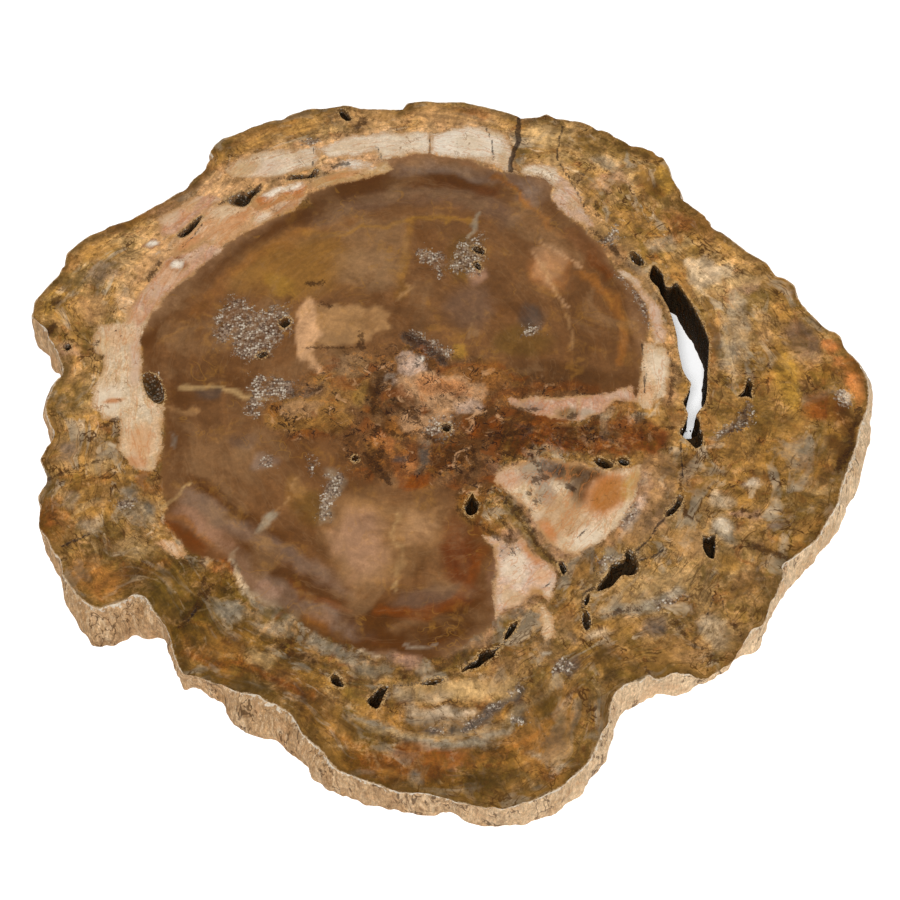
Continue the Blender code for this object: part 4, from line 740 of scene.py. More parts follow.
class StageSettings(bpy.types.PropertyGroup):
    """The floor, the lights and the camera."""

    floor_colour: FloatVectorProperty(
        name="Floor colour", description="Colour of the pale floor", subtype="COLOR", size=3,
        default=(0.96, 0.96, 0.96), min=0.0, max=1.0,
    )
    floor_glow: FloatProperty(
        name="Floor glow", description="Light that the backlit floor gives off by itself", default=0.26,
        min=0.0,
    )
    camera_elevation: FloatProperty(
        name="Camera elevation", description="How far above the floor the camera looks from",
        default=math.radians(60.0), subtype="ANGLE",
    )
    camera_distance: FloatProperty(
        name="Camera distance", description="From the camera to the polished face", default=733.0 * MM,
        unit="LENGTH",
    )
    lens: FloatProperty(name="Lens", description="Focal length in millimetres", default=76.0, min=10.0)


def smooth_curve(knots):
    """Fine points of a smooth closed curve through the knots, FINE to each knot: cubic Hermite curves, whose
    direction at a knot is PULL times the way from the knot before it to the knot after it."""
    knots = np.asarray(knots, float)
    before, after, beyond = (np.roll(knots, shift, axis=0) for shift in (1, -1, -2))
    t = np.linspace(0.0, 1.0, FINE, endpoint=False)[None, :, None]
    k0, k1, k2, k3 = (k[:, None, :] for k in (before, knots, after, beyond))
    return (
        (2 * t**3 - 3 * t**2 + 1) * k1
        + (t**3 - 2 * t**2 + t) * PULL * (k2 - k0)
        + (-2 * t**3 + 3 * t**2) * k2
        + (t**3 - t**2) * PULL * (k3 - k1)
    ).reshape(-1, 2)


def spaced_points(knots, first_knots=(0,), steps=(100,)):
    """Points along the curve through the knots, evenly spaced from each first knot to the next one."""
    fine = smooth_curve(knots)
    fine = np.vstack([fine, fine[:1]])
    along = np.concatenate([[0.0], np.cumsum(np.linalg.norm(np.diff(fine, axis=0), axis=1))])
    starts = [along[FINE * k] for k in first_knots] + [along[-1]]
    at = np.concatenate([np.linspace(a, b, n, endpoint=False) for a, b, n in zip(starts, starts[1:], steps)])
    return np.stack([np.interp(at, along, fine[:, 0]), np.interp(at, along, fine[:, 1])], axis=1)


def outward(curve):
    """The unit direction that points out of a counter-clockwise closed curve, at each of its points."""
    run = np.roll(curve, -1, axis=0) - np.roll(curve, 1, axis=0)
    run /= np.linalg.norm(run, axis=1, keepdims=True)
    return np.stack([run[:, 1], -run[:, 0]], axis=1)


def at_height(curve, z):
    """The flat curve's points at the height z."""
    return np.column_stack([curve, np.full(len(curve), z)])


def length_round(outline):
    """The length of the closed outline, side by side."""
    return np.linalg.norm(np.diff(np.vstack([outline, outline[:1]]), axis=0), axis=1).sum()


def rim_and_foot(total):
    """The rim and the foot of the edge as two closed rows of points, the same number in each stretch."""
    rim_knots = np.array([knot for rim, _ in STRETCHES for knot in rim])
    leaning = rim_knots + FAR_LEAN * outward(rim_knots)
    rim_firsts, foot_firsts, foot_knots = [], [], []
    first = 0
    for rim, foot in STRETCHES:
        rim_firsts.append(first)
        foot_firsts.append(len(foot_knots))
        foot_knots += list(foot or leaning[first:first + len(rim)])
        first += len(rim)
    ends = rim_firsts[1:] + [len(rim_knots)]
    hops = np.linalg.norm(np.roll(rim_knots, -1, axis=0) - rim_knots, axis=1)
    steps = [max(4, int(round(total * hops[a:b].sum() / hops.sum()))) for a, b in zip(rim_firsts, ends)]
    return (
        spaced_points(rim_knots, rim_firsts, steps),
        spaced_points(np.array(foot_knots), foot_firsts, steps),
    )


def lattice_noise(points, size, seed):
    """Smooth noise from -1 to 1: a hashed value at each whole step of size, blended by 3t^2 - 2t^3."""
    cell = np.asarray(points, float) / size
    corner = np.floor(cell).astype(np.int64)
    t = cell - corner
    t = t * t * (3.0 - 2.0 * t)
    total = np.zeros(len(cell))
    for bits in range(8):
        step = np.array([bits & 1, bits >> 1 & 1, bits >> 2 & 1])
        x, y, z = (corner + step).T
        mixed = x * 73856093 ^ y * 19349663 ^ z * 83492791 ^ (seed * 7919 + 101)
        mixed = (mixed ^ (mixed >> 13)) * 1274126177 & 0x7FFFFFFF
        value = ((mixed >> 7) & 0xFFFF) / 32767.5 - 1.0
        total += np.prod(np.where(step, t, 1.0 - t), axis=1) * value
    return total


def rough_edge_rings(steps, roughness):
    """The outline at each height of the edge, in drawing millimetres. With s the share of the way from rim to
    foot, each point is rim (1 - s) + foot s, plus flutes and upright grain outwards, and chips inwards at the
    rim."""
    rim, foot = rim_and_foot(steps)
    out = outward(0.5 * (rim + foot))
    turn = 2.0 * math.pi * np.arange(len(rim)) / len(rim)
    below_rim = np.array([0.75, 0.25, -0.3, -4.0])
    middle = np.linspace(1.6, THICKNESS - 1.5, 12)
    heights = np.concatenate([[-4.0, -0.3, 0.35], middle, THICKNESS - below_rim])
    rings = []
    for z in heights:
        down = min(1.0, max(0.0, 1.0 - z / THICKNESS))
        share = math.sin(0.5 * math.pi * min(1.0, 1.3 * down)) ** 0.8 if down > 0.0 else 0.0
        flutes = sum(
            part * np.sin(count * turn + phase + drift * down) for part, count, phase, drift in FLUTES
        )
        place = at_height(foot, min(THICKNESS, max(0.0, z)))
        grain = lattice_noise(place * (1.0, 1.0, 0.16), 1.7, 3) + 0.7 * lattice_noise(place, 4.5, 4)
        lumps = lattice_noise(place, 9.0, 5) + 0.6 * lattice_noise(place * (1.0, 1.0, 0.5), 2.6, 6)
        buried = min(1.0, share * 1.6)
        push = FLUTE_DEPTH * share * flutes + roughness * buried * (0.62 * grain + 0.75 * lumps)
        near_rim = max(0.0, 1.0 - down * THICKNESS / CHIPPED_HEIGHT)
        chips = np.clip(lattice_noise(place * (1.0, 1.0, 0.35), 3.6, 7) - 0.05, 0.0, 1.0)
        nicks = 0.16 * lattice_noise(place, 1.5, 8)
        push = push - roughness * 1.3 * near_rim * (chips + nicks)
        push = np.minimum(push, FLUTE_DEPTH * 1.3)
        ring = rim * (1.0 - share) + foot * share + out * push[:, None]
        rings.append(at_height(np.clip(ring, BOX_LOW, BOX_HIGH), z))
    return rings


def ring_solid(name, rings):
    """A closed mesh object through the rings, lowest first: a quad for each step along and up, and an end
    face on each."""
    count = len(rings[0])
    points = np.vstack(rings)
    points[:, :2] += CENTRE
    along = np.arange(count)
    following = (along + 1) % count
    up = (np.arange(len(rings) - 1) * count)[:, None]
    quads = np.stack([up + along, up + following, up + count + following, up + count + along], axis=-1)
    faces = quads.reshape(-1, 4).tolist()
    faces.append(along[::-1].tolist())
    faces.append((along + count * (len(rings) - 1)).tolist())
    return new_object(name, points * MM, faces)


def grid_slab(name, low, high, step, far_z, top):
    """A closed box whose top (or bottom) is a fine grid at THICKNESS (or 0), its far side a face at far_z."""
    columns, rows = (max(2, int(round((high[axis] - low[axis]) / step))) for axis in (0, 1))
    x, y = np.meshgrid(np.linspace(low[0], high[0], columns + 1), np.linspace(low[1], high[1], rows + 1))
    points = np.column_stack([x.ravel(), y.ravel(), np.full(x.size, THICKNESS if top else 0.0)])
    number = np.arange(x.size).reshape(x.shape)
    corners = points[number[[0, 0, -1, -1], [0, -1, -1, 0]]].copy()
    corners[:, 2] = far_z
    a, b, c, d = range(x.size, x.size + 4)
    quads = np.stack([number[:-1, :-1], number[:-1, 1:], number[1:, 1:], number[1:, :-1]], axis=-1)
    faces = quads.reshape(-1, 4).tolist()
    faces.append([a, b, *number[0, ::-1].tolist()])
    faces.append([b, c, *number[::-1, -1].tolist()])
    faces.append([c, d, *number[-1, :].tolist()])
    faces.append([d, a, *number[:, 0].tolist()])
    faces.append([a, d, c, b])
    if not top:
        faces = [face[::-1] for face in faces]
    return new_object(name, np.vstack([points, corners]) * MM, faces)


def new_object(name, points, faces):
    mesh = bpy.data.meshes.new(name)
    mesh.from_pydata(np.asarray(points).tolist(), [], faces)
    mesh.update()
    made = bpy.data.objects.new(name, mesh)
    bpy.context.scene.collection.objects.link(made)
    return made


def signed_area(outline):
    x, y = np.asarray(outline, float).T
    return 0.5 * float(np.sum(x * np.roll(y, -1) - y * np.roll(x, -1)))


def opening_cutter():
    """The opening's rough wall: its outline at each height, moved in and out by noise."""
    outline = spaced_points(OPENING, steps=(OPENING_STEPS,))
    clockwise = signed_area(outline) < 0.0
    out = outward(outline) * (-1.0 if clockwise else 1.0)
    rings = []
    for z in OPENING_HEIGHTS:
        depth = min(1.0, max(0.0, (THICKNESS - z) / 4.0))
        place = at_height(outline, z)
        lumps = 0.7 * lattice_noise(place, 3.2, 21) + 0.5 * lattice_noise(place, 1.4, 22)
        push = (0.15 + 0.55 * depth) * lumps
        ring = at_height(outline + out * push[:, None], z)
        rings.append(ring[::-1] if clockwise else ring)
    return ring_solid("cut_opening", rings)


def vug_rings(outline, depth, floor):
    """The rings of a vug: its outline narrowed towards a rounded floor, with a lumpy wall."""
    if signed_area(outline) < 0.0:
        outline = outline[::-1]
    curve = spaced_points(outline, steps=(max(18, int(length_round(outline) / VUG_STEP)),))
    middle = curve.mean(axis=0)
    levels = (
        (THICKNESS - depth, 0.45 * floor), (THICKNESS - 0.93 * depth, 0.75 * floor),
        (THICKNESS - 0.8 * depth, floor), (THICKNESS - 0.58 * depth, 0.7 * floor + 0.3),
        (THICKNESS - 0.35 * depth, 0.45 * floor + 0.55), (THICKNESS - 0.16 * depth, 0.2 * floor + 0.8),
        (THICKNESS - 0.2, 0.99), (THICKNESS + 0.3, 1.0), (THICKNESS + 1.5, 1.0),
    )
    rings = []
    for z, share in levels:
        place = at_height(curve, z)
        inside = 0.16 if z > THICKNESS - 0.3 else 0.34
        push = inside * (0.6 * lattice_noise(place, 2.4, 31) + 0.55 * lattice_noise(place, 1.1, 32))
        ring = middle + (curve - middle) * (share + push / 6.0)[:, None]
        ring += push[:, None] * (curve - middle) / np.linalg.norm(curve - middle, axis=1, keepdims=True)
        rings.append(at_height(ring, z))
    return rings


def cut(body, tool, operation):
    """Applies one Boolean to the body's mesh and removes the tool."""
    modifier = body.modifiers.new(tool.name, "BOOLEAN")
    modifier.operation = operation
    modifier.solver = "MANIFOLD"
    modifier.object = tool
    whole = body.data
    body_now = body.evaluated_get(bpy.context.evaluated_depsgraph_get())
    fresh = bpy.data.meshes.new_from_object(body_now)
    body.modifiers.clear()
    body.data = fresh
    if len(fresh.polygons) < FEWEST_FACES:
        raise RuntimeError(f"the Boolean with {tool.name} left nothing")
    tool_mesh = tool.data
    bpy.data.objects.remove(tool, do_unlink=True)
    for mesh in (whole, tool_mesh):
        bpy.data.meshes.remove(mesh)


def linear(colour):
    """Scene-linear values of a palette colour given from 0 to 255, less what the gloss adds to it."""
    value = np.asarray(colour, float) / 255.0
    value = np.where(value <= 0.04045, value / 12.92, ((value + 0.055) / 1.055) ** 2.4)
    return np.maximum(value - GLOSS_VEIL, 0.12 * value) / LIGHT_LEVEL


def smoothstep(low, high, value):
    t = np.clip((value - low) / (high - low), 0.0, 1.0)
    return t * t * (3.0 - 2.0 * t)


def near(points, outline, margin):
    """The numbers of the points within the outline's box grown by the margin."""
    outline = np.asarray(outline, float)
    low, high = outline.min(axis=0) - margin, outline.max(axis=0) + margin
    return np.flatnonzero(((points > low) & (points < high)).all(axis=1))


def outline_gap(points, outline, closed=True):
    """Distance to the outline in millimetres, positive inside a closed one and negative elsewhere."""
    starts = np.asarray(outline, float)
    ends = np.roll(starts, -1, axis=0)
    best = np.full(len(points), 1e12)
    inside = np.zeros(len(points), bool)
    sides = list(zip(starts, ends))
    for a, b in sides if closed else sides[:-1]:
        run = b - a
        away = points - a
        along = np.clip(away @ run / max(run @ run, 1e-12), 0.0, 1.0)
        best = np.minimum(best, ((away - along[:, None] * run) ** 2).sum(axis=1))
        if closed and a[1] != b[1]:
            crosses = (a[1] > points[:, 1]) != (b[1] > points[:, 1])
            inside ^= crosses & (points[:, 0] < a[0] + (points[:, 1] - a[1]) * run[0] / run[1])
    return np.where(inside, 1.0, -1.0) * np.sqrt(best)


def widest(points, shapes, reach=12.0):
    """The largest of the shapes' gaps at each point, held above -reach. A shape is (outline, width): a line
    of that width where it is over 0, or else a closed outline."""
    field = np.full(len(points), -reach)
    for outline, width in shapes:
        chosen = near(points, outline, reach)
        gap = outline_gap(points[chosen], outline, closed=width <= 0.0)
        field[chosen] = np.maximum(field[chosen], gap + 0.5 * width)
    return field


def outlines_of(shapes):
    """The shapes' outlines as widest takes them."""
    return [(shape[0], 0.0) for shape in shapes]


def tint(colours, chosen, weight, name):
    """Moves the chosen colours towards the palette colour by the weight, noted in the alpha."""
    colours[chosen, :3] += (linear(PALETTE[name]) - colours[chosen, :3]) * weight[:, None]
    colours[chosen, 3] = np.maximum(colours[chosen, 3], weight)


def plain_colours(count, name):
    return np.tile(np.append(linear(PALETTE[name]), 0.0), (count, 1))


def add_clouds(colours, points, clouds):
    """Soft ellipses: full strength inside 0.5 of the half widths, fading to nothing at 1.2 of them."""
    for (middle, half), turn, name, strength in clouds:
        chosen = near(points, (middle,), 1.25 * max(half))
        away = points[chosen] - middle
        c, s = math.cos(math.radians(turn)), math.sin(math.radians(turn))
        u = (away[:, 0] * c + away[:, 1] * s) / half[0]
        v = (away[:, 1] * c - away[:, 0] * s) / half[1]
        tint(colours, chosen, strength * (1.0 - smoothstep(0.5, 1.2, np.hypot(u, v))), name)


def ground_colours(points, heart_gap):
    """Colour of the stone under its pale pieces: the wood outside, the agate inside, then the drawn marks.
    The alpha says how strongly a place is drawn."""
    colours = plain_colours(len(points), "wood")
    tint(colours, np.arange(len(points)), smoothstep(-1.5, 1.5, heart_gap), "agate")
    add_clouds(colours, points, BROAD_TONES)
    colours[:, 3] = 0.0
    add_clouds(colours, points, CLOUDS)
    for line, width, name, strength in STROKES:
        chosen = near(points, line, width)
        gap = outline_gap(points[chosen], line, closed=False)
        tint(colours, chosen, strength * smoothstep(-0.8 * width, -0.2 * width, gap), name)
    for outline, softness, name, strength in PATCHES:
        chosen = near(points, outline, 2.0 * softness)
        gap = outline_gap(points[chosen], outline)
        tint(colours, chosen, strength * smoothstep(-softness, softness, gap), name)
    return colours


def pale_colours(points):
    """Colour of the pale pieces, each a little past its own outline, so that their edge can be moved."""
    colours = plain_colours(len(points), "cream")
    for outline, name in PALE_PIECES:
        chosen = near(points, outline, 4.0)
        gap = outline_gap(points[chosen], outline)
        tint(colours, chosen, smoothstep(-1.6, -0.2, gap), name)
    colours[:, 3] = 0.0
    add_clouds(colours, points, PALE_CLOUDS)
    return colours


def growth_place(points, rim_gap):
    """A place to read ring-shaped noise at, in millimetres: 100 times the cosine and sine of the direction
    from the pith, and the way out. Inside the heart's ellipse the way out is 108 times (share of the radius
    - 1), and outside it 45 times the share of the way from the ellipse to the rim."""
    away = (points - PITH) / HEART_RADII
    reach = np.maximum(np.hypot(away[:, 0], away[:, 1]), 1e-6)
    beyond = np.maximum(reach - 1.0, 0.0) * 110.0
    outer = 45.0 * beyond / (beyond + np.maximum(rim_gap, 0.0) + 1e-6)
    ring = np.where(reach < 1.0, (reach - 1.0) * 108.0, outer)
    direction = 100.0 * away / reach[:, None] * smoothstep(0.0, 0.25, reach)[:, None]
    return np.column_stack([direction, ring])


def write_attribute(mesh, name, kind, values):
    """Writes one value, vector or colour for each point of the mesh."""
    field = {"FLOAT": "value", "FLOAT_VECTOR": "vector", "FLOAT_COLOR": "color"}[kind]
    mesh.attributes.new(name, kind, "POINT").data.foreach_set(field, values.astype(np.float32).ravel())


def mark_stone(mesh):
    """Works out the colours and marks at every point of the stone and writes them as attributes."""
    places = np.empty(len(mesh.vertices) * 3, np.float32)
    mesh.vertices.foreach_get("co", places)
    flat = (places.reshape(-1, 3).astype(float) / MM)[:, :2] - CENTRE
    level = at_height(flat, 0.0)
    warp = np.column_stack([
        1.6 * lattice_noise(level, 7.0, seed) + 1.3 * lattice_noise(level, 3.2, seed + 1)
        for seed in (51, 53)
    ])
    soft = flat + warp
    crisp = flat + 0.35 * warp
    heart_gap = outline_gap(crisp, HEART)
    rim, _ = rim_and_foot(330)
    rim_gap = outline_gap(flat, rim)
    pits = widest(flat, PITS)
    pale = widest(crisp, outlines_of(PALE_PIECES))
    dark = widest(crisp, DARK_MARKS)
    druse = widest(crisp, outlines_of(DRUSE))
    broken = smoothstep(-4.0, 4.0, widest(soft, [(BROKEN_MIDDLE, 0.0)]))
    write_attribute(mesh, "ground", "FLOAT_COLOR", ground_colours(soft, heart_gap))
    write_attribute(mesh, "pale_colour", "FLOAT_COLOR", pale_colours(crisp))
    write_attribute(mesh, "marks", "FLOAT_VECTOR", np.column_stack([pale, dark, druse]))
    write_attribute(mesh, "gaps", "FLOAT_VECTOR", np.column_stack([heart_gap, pits, rim_gap]))
    write_attribute(mesh, "cracks", "FLOAT", widest(flat + 0.25 * warp, CRACKS))
    write_attribute(mesh, "broken", "FLOAT", broken)
    write_attribute(mesh, "growth", "FLOAT_VECTOR", growth_place(crisp, rim_gap))


def palette(name):
    return (*linear(PALETTE[name]), 1.0)


class Tree:
    """Adds nodes to a shader tree. A value is a number, a colour, the name of a palette colour, or a
    socket."""

    def __init__(self, tree):
        self.tree = tree

    def give(self, socket, value):
        if isinstance(value, bpy.types.NodeSocket):
            self.tree.links.new(value, socket)
        else:
            socket.default_value = palette(value) if isinstance(value, str) else value

    def add(self, kind, values=None, **settings):
        """Adds a node with its settings, and gives each of its named or numbered inputs a value."""
        made = self.tree.nodes.new(kind)
        for name, value in settings.items():
            setattr(made, name, value)
        for name, value in (values or {}).items():
            self.give(made.inputs[name], value)
        return made

    def maths(self, operation, first, *others):
        """The operation on the first value and the next, then on that and the one after it, and so on."""
        for other in others:
            first = self.add("ShaderNodeMath", {0: first, 1: other}, operation=operation).outputs[0]
        return first

    def times(self, *values):
        return self.maths("MULTIPLY", *values)

    def plus(self, *values):
        return self.maths("ADD", *values)

    def minus(self, first, second):
        return self.maths("SUBTRACT", first, second)

    def spread(self, value, low, high, to_low=0.0, to_high=1.0):
        """A smooth step of the value from low to high, put out from to_low to to_high."""
        values = {"Value": value, "From Min": low, "From Max": high, "To Min": to_low, "To Max": to_high}
        return self.add("ShaderNodeMapRange", values, interpolation_type="SMOOTHSTEP").outputs[0]

    def line_where(self, value, half_width):
        """1 where the value is within half_width of 0.5, falling to 0 at twice that."""
        off = self.add("ShaderNodeMath", {0: self.minus(value, 0.5)}, operation="ABSOLUTE").outputs[0]
        values = {"Value": off, "From Min": self.times(half_width, 2.0), "From Max": half_width}
        return self.add("ShaderNodeMapRange", values).outputs[0]

    def blend(self, factor, first, second):
        values = {0: factor, 6: first, 7: second}
        return self.add("ShaderNodeMix", values, data_type="RGBA").outputs[2]

    def toned(self, colour, tone, value, low, high, most=1.0):
        """The colour, moved towards the tone as the value goes from low to high, by most at the most."""
        return self.blend(self.spread(value, low, high, 0.0, most), colour, tone)

    def scaled(self, vector, factor):
        values = {0: vector, "Scale": factor}
        return self.add("ShaderNodeVectorMath", values, operation="SCALE").outputs[0]

    def shrunk(self, vector, size):
        return self.scaled(vector, self.maths("DIVIDE", 1.0, size))

    def shaded(self, colour, value, low, high, dark, light):
        """The colour times dark to light as the value goes from low to high."""
        return self.scaled(colour, self.spread(value, low, high, dark, light))

    def stretched(self, vector, x, y, z):
        return self.add("ShaderNodeVectorMath", {0: vector, 1: (x, y, z)}, operation="MULTIPLY").outputs[0]

    def noise(self, vector, scale, detail=2.0, roughness=0.5, distortion=0.0):
        values = {"Vector": vector, "Scale": scale, "Detail": detail, "Roughness": roughness,
                  "Distortion": distortion}
        return self.add("ShaderNodeTexNoise", values).outputs["Fac"]

    def place(self):
        """Object coordinates in millimetres."""
        metres = self.add("ShaderNodeTexCoord").outputs["Object"]
        return self.stretched(metres, 1.0 / MM, 1.0 / MM, 1.0 / MM)

    def attribute(self, name):
        return self.add("ShaderNodeAttribute", attribute_name=name).outputs

    def split(self, vector):
        return self.add("ShaderNodeSeparateXYZ", {0: vector}).outputs

    def along_rings(self, given):
        """The growth place, shortened by Length round the rings and by Thickness across them."""
        sizes = (given["Length"], given["Length"], given["Thickness"])
        parts = [self.maths("DIVIDE", part, size) for part, size in zip(self.split(given["Growth"]), sizes)]
        return self.add("ShaderNodeCombineXYZ", dict(enumerate(parts))).outputs[0]

    def effect(self, name, *values):
        """The outputs of the shared effect of that name, with these values for its inputs in their order."""
        return self.add("ShaderNodeGroup", dict(enumerate(values)), node_tree=shared_effect(name)).outputs


class Finish(Tree):
    """A new material and its tree."""

    def __init__(self, name):
        self.material = bpy.data.materials.new(name)
        self.material.use_nodes = True
        super().__init__(self.material.node_tree)

    def dress(self, shader_values, bump=None):
        """Gives the shader its values and a bump (strength, distance, height), and returns the material."""
        shader = self.tree.nodes["Principled BSDF"]
        for name, value in shader_values.items():
            self.give(shader.inputs[name], value)
        if bump:
            node = self.add("ShaderNodeBump", dict(zip(("Strength", "Distance", "Height"), bump)))
            self.give(shader.inputs["Normal"], node.outputs[0])
        return self.material


def mineral_mottle(tree, given):
    """Blotches of several sizes that darken, lighten and shift a colour, as mineral stain does."""
    strength = given["Strength"]
    scaled = tree.shrunk(given["Vector"], given["Size"])
    large = tree.noise(scaled, 1.0, 4.0, 0.62, 0.7)
    middle = tree.noise(scaled, 2.7, 3.0, 0.6, 1.2)
    small = tree.noise(scaled, 9.0, 1.0, 0.6)
    fine = tree.noise(scaled, 26.0, 0.0)
    stain = tree.times(tree.spread(large, 0.50, 0.64), tree.spread(middle, 0.38, 0.54), 0.85, strength)
    bleach = tree.times(tree.spread(large, 0.49, 0.36), tree.spread(middle, 0.42, 0.60), 0.7, strength)
    colour = tree.blend(stain, given["Colour"], given["Stain"])
    colour = tree.blend(bleach, colour, given["Bleach"])
    shade = tree.times(
        tree.spread(middle, 0.3, 0.7, 0.68, 1.24), tree.spread(small, 0.3, 0.7, 0.76, 1.2),
        tree.spread(fine, 0.3, 0.7, 0.88, 1.12))
    shade = tree.plus(tree.times(tree.minus(shade, 1.0), strength), 1.0)
    return {"Colour": tree.scaled(colour, shade), "Relief": small}


def growth_rings(tree, given):
    """Noise that is long along the growth rings and thin across them, and the lines where it crosses 0.5."""
    value = tree.noise(tree.along_rings(given), 1.0, 3.0, 0.58, 0.35)
    return {"Value": value, "Lines": tree.line_where(value, given["Line"])}


def mineral_veins(tree, given):
    """Branching thin lines where a noise crosses 0.5, kept only in patches of a larger noise."""
    scaled = tree.shrunk(given["Vector"], given["Size"])
    lines = tree.line_where(tree.noise(scaled, 1.0, 3.0, 0.6, 0.5), given["Line"])
    return {"Lines": tree.times(lines, tree.spread(tree.noise(scaled, 0.8, 1.0, 0.6), 0.5, 0.6))}


def mineral_islands(tree, given):
    """Islands of another mineral, long along the rings: a noise above Level, with a line on its shore."""
    above = tree.minus(tree.noise(tree.along_rings(given), 1.0, 4.0, 0.58, 0.7), given["Level"])
    inside = tree.times(tree.spread(above, -0.02, 0.10), given["Strength"])
    colour = tree.blend(inside, given["Colour"], given["Fill"])
    shore = tree.line_where(tree.plus(above, 0.5), 0.007)
    shore = tree.times(shore, tree.times(given["Strength"], 0.6))
    return {"Colour": tree.blend(shore, colour, given["Shore"])}


def quartz_sparkle(tree, given):
    """Drusy quartz: packed small grains from dark gaps, partly painted shade between the grains, to pale
    tips, partly painted glints.
    """
    scaled = tree.shrunk(given["Vector"], given["Grain"])
    cells = tree.add("ShaderNodeTexVoronoi", {"Vector": scaled, "Scale": 1.0, "Randomness": 1.0}).outputs
    clumps = tree.noise(scaled, 0.36, 2.0, 0.65)
    bright = tree.times(tree.split(cells["Color"])[0], tree.spread(clumps, 0.3, 0.6, 0.4, 1.3))
    value = tree.times(tree.spread(cells["Distance"], 0.9, 0.25), bright)
    # Painted shade in the dark gaps and painted glints on the pale tips, over grey quartz.
    shade = tree.add("ShaderNodeValToRGB", {0: value})
    first, last = shade.color_ramp.elements
    first.color = palette("umber")
    last.color = palette("pearl")
    last.position = 0.85
    for position, name in ((0.05, "slate"), (0.3, "lilac"), (0.6, "ash")):
        shade.color_ramp.elements.new(position).color = palette(name)
    return {"Colour": shade.outputs[0], "Height": value}


def wood_colours(tree, ground, drawn_by, flat, growth, rim_gap):
    """The outer wood: golden and brown country, and islands of silica, iron and stain along the rings."""
    country = tree.noise(flat, 0.07, 4.0, 0.6, 0.8)
    second = tree.noise(flat, 0.085, 4.0, 0.62, 1.1)
    colour = tree.toned(ground, "gold", country, 0.52, 0.64, 0.5)
    colour = tree.toned(colour, "olive", country, 0.47, 0.36, 0.55)
    colour = tree.toned(colour, "rust", second, 0.55, 0.66, 0.5)
    colour = tree.toned(colour, "sand", second, 0.44, 0.34, 0.55)
    colour = tree.blend(tree.times(drawn_by, 0.92), colour, ground)
    strength = tree.spread(drawn_by, 0.3, 1.0, 0.8, 0.4)
    colour = tree.effect("mineral_mottle", flat, colour, "moss", "tan", 9.0, strength)["Colour"]
    open_ground = tree.minus(1.0, tree.times(drawn_by, 0.85))
    for fill, shore, length, thickness, level, most in (
            ("olive", "umber", 9.0, 7.0, 0.56, 0.6), ("ochre", "brown", 15.0, 9.0, 0.54, 0.6),
            ("ash", "olive", 14.0, 9.5, 0.55, 0.7), ("cream", "brown", 8.0, 6.0, 0.62, 0.5)):
        colour = tree.effect("mineral_islands", growth, colour, fill, shore, length, thickness, level,
                             tree.times(open_ground, most))["Colour"]
    rays = tree.effect("growth_rings", growth, 2.2, 9.0, 0.01)
    colour = tree.shaded(colour, rays["Value"], 0.35, 0.65, 0.84, 1.15)
    stain = tree.effect("growth_rings", growth, 16.0, 5.0, 0.006)
    colour = tree.shaded(colour, stain["Value"], 0.36, 0.64, 0.8, 1.2)
    colour = tree.shaded(colour, tree.noise(flat, 0.13, 4.0, 0.6, 0.6), 0.36, 0.64, 0.72, 1.24)
    colour = tree.shaded(colour, tree.split(flat)[1], -135.0, 90.0, 0.86, 1.3)
    colour = tree.toned(colour, "moss", tree.noise(flat, 0.5, 2.0, 0.6), 0.60, 0.70, 0.6)
    colour = tree.blend(tree.times(stain["Lines"], 0.6, open_ground), colour, "umber")
    crossing = tree.effect("mineral_veins", flat, 9.0, 0.010)["Lines"]
    colour = tree.blend(tree.times(crossing, 0.85, open_ground), colour, "umber")
    return tree.toned(colour, "moss", rim_gap, 6.0, 0.5, 0.4)


def agate_colours(tree, ground, heart_gap, flat, growth):
    """The agate heart: clear brown with drifting smoke, faint bands along the rings and thin veins."""
    smoke = tree.noise(flat, 0.035, 4.0, 0.58, 0.9)
    colour = tree.toned(ground, "agate_tan", smoke, 0.5, 0.66, 0.4)
    colour = tree.toned(colour, "agate_dark", smoke, 0.48, 0.34, 0.4)
    colour = tree.effect("mineral_mottle", flat, colour, "agate_dark", "gold", 17.0, 0.34)["Colour"]
    rings = tree.effect("growth_rings", growth, 45.0, 6.5, 0.006)
    colour = tree.shaded(colour, rings["Value"], 0.34, 0.66, 0.9, 1.12)
    colour = tree.blend(tree.times(rings["Lines"], 0.15), colour, "agate_tan")
    colour = tree.toned(colour, "agate_dark", heart_gap, 11.0, 1.0, 0.5)
    veins = tree.effect("mineral_veins", flat, 22.0, 0.004)["Lines"]
    return tree.blend(tree.times(veins, 0.3), colour, "gold")


def pale_wood_colours(tree, pale, drawn_by, flat, growth, gap):
    """Pale silicified wood: mottled cream, streaked along the rings, with rusty veins and thin cracks."""
    streaks = tree.effect("growth_rings", growth, 13.0, 4.0, 0.012)
    bare = tree.minus(1.0, tree.times(drawn_by, 0.85))
    peachy = tree.times(tree.spread(streaks["Value"], 0.52, 0.66, 0.0, 0.45), bare)
    colour = tree.blend(peachy, pale, "peach")
    chalky = tree.times(tree.spread(streaks["Value"], 0.47, 0.36, 0.0, 0.4), bare)
    colour = tree.blend(chalky, colour, "ivory")
    colour = tree.effect("mineral_islands", growth, colour, "sand", "tan", 10.0, 4.0, 0.55,
                         tree.times(bare, 0.5))["Colour"]
    strength = tree.spread(drawn_by, 0.0, 1.0, 0.5, 0.2)
    colour = tree.effect("mineral_mottle", flat, colour, "tan", "pale_pink", 9.0, strength)["Colour"]
    colour = tree.blend(tree.times(streaks["Lines"], 0.4), colour, "orange")
    cracks = tree.effect("mineral_veins", flat, 6.0, 0.007)["Lines"]
    colour = tree.blend(tree.times(cracks, 0.6), colour, "brown")
    patchy = tree.spread(tree.noise(flat, 0.21, 2.0, 0.6), 0.42, 0.6, 0.3, 0.9)
    return tree.blend(tree.times(tree.spread(gap, 2.4, 0.0), patchy), colour, "tan")


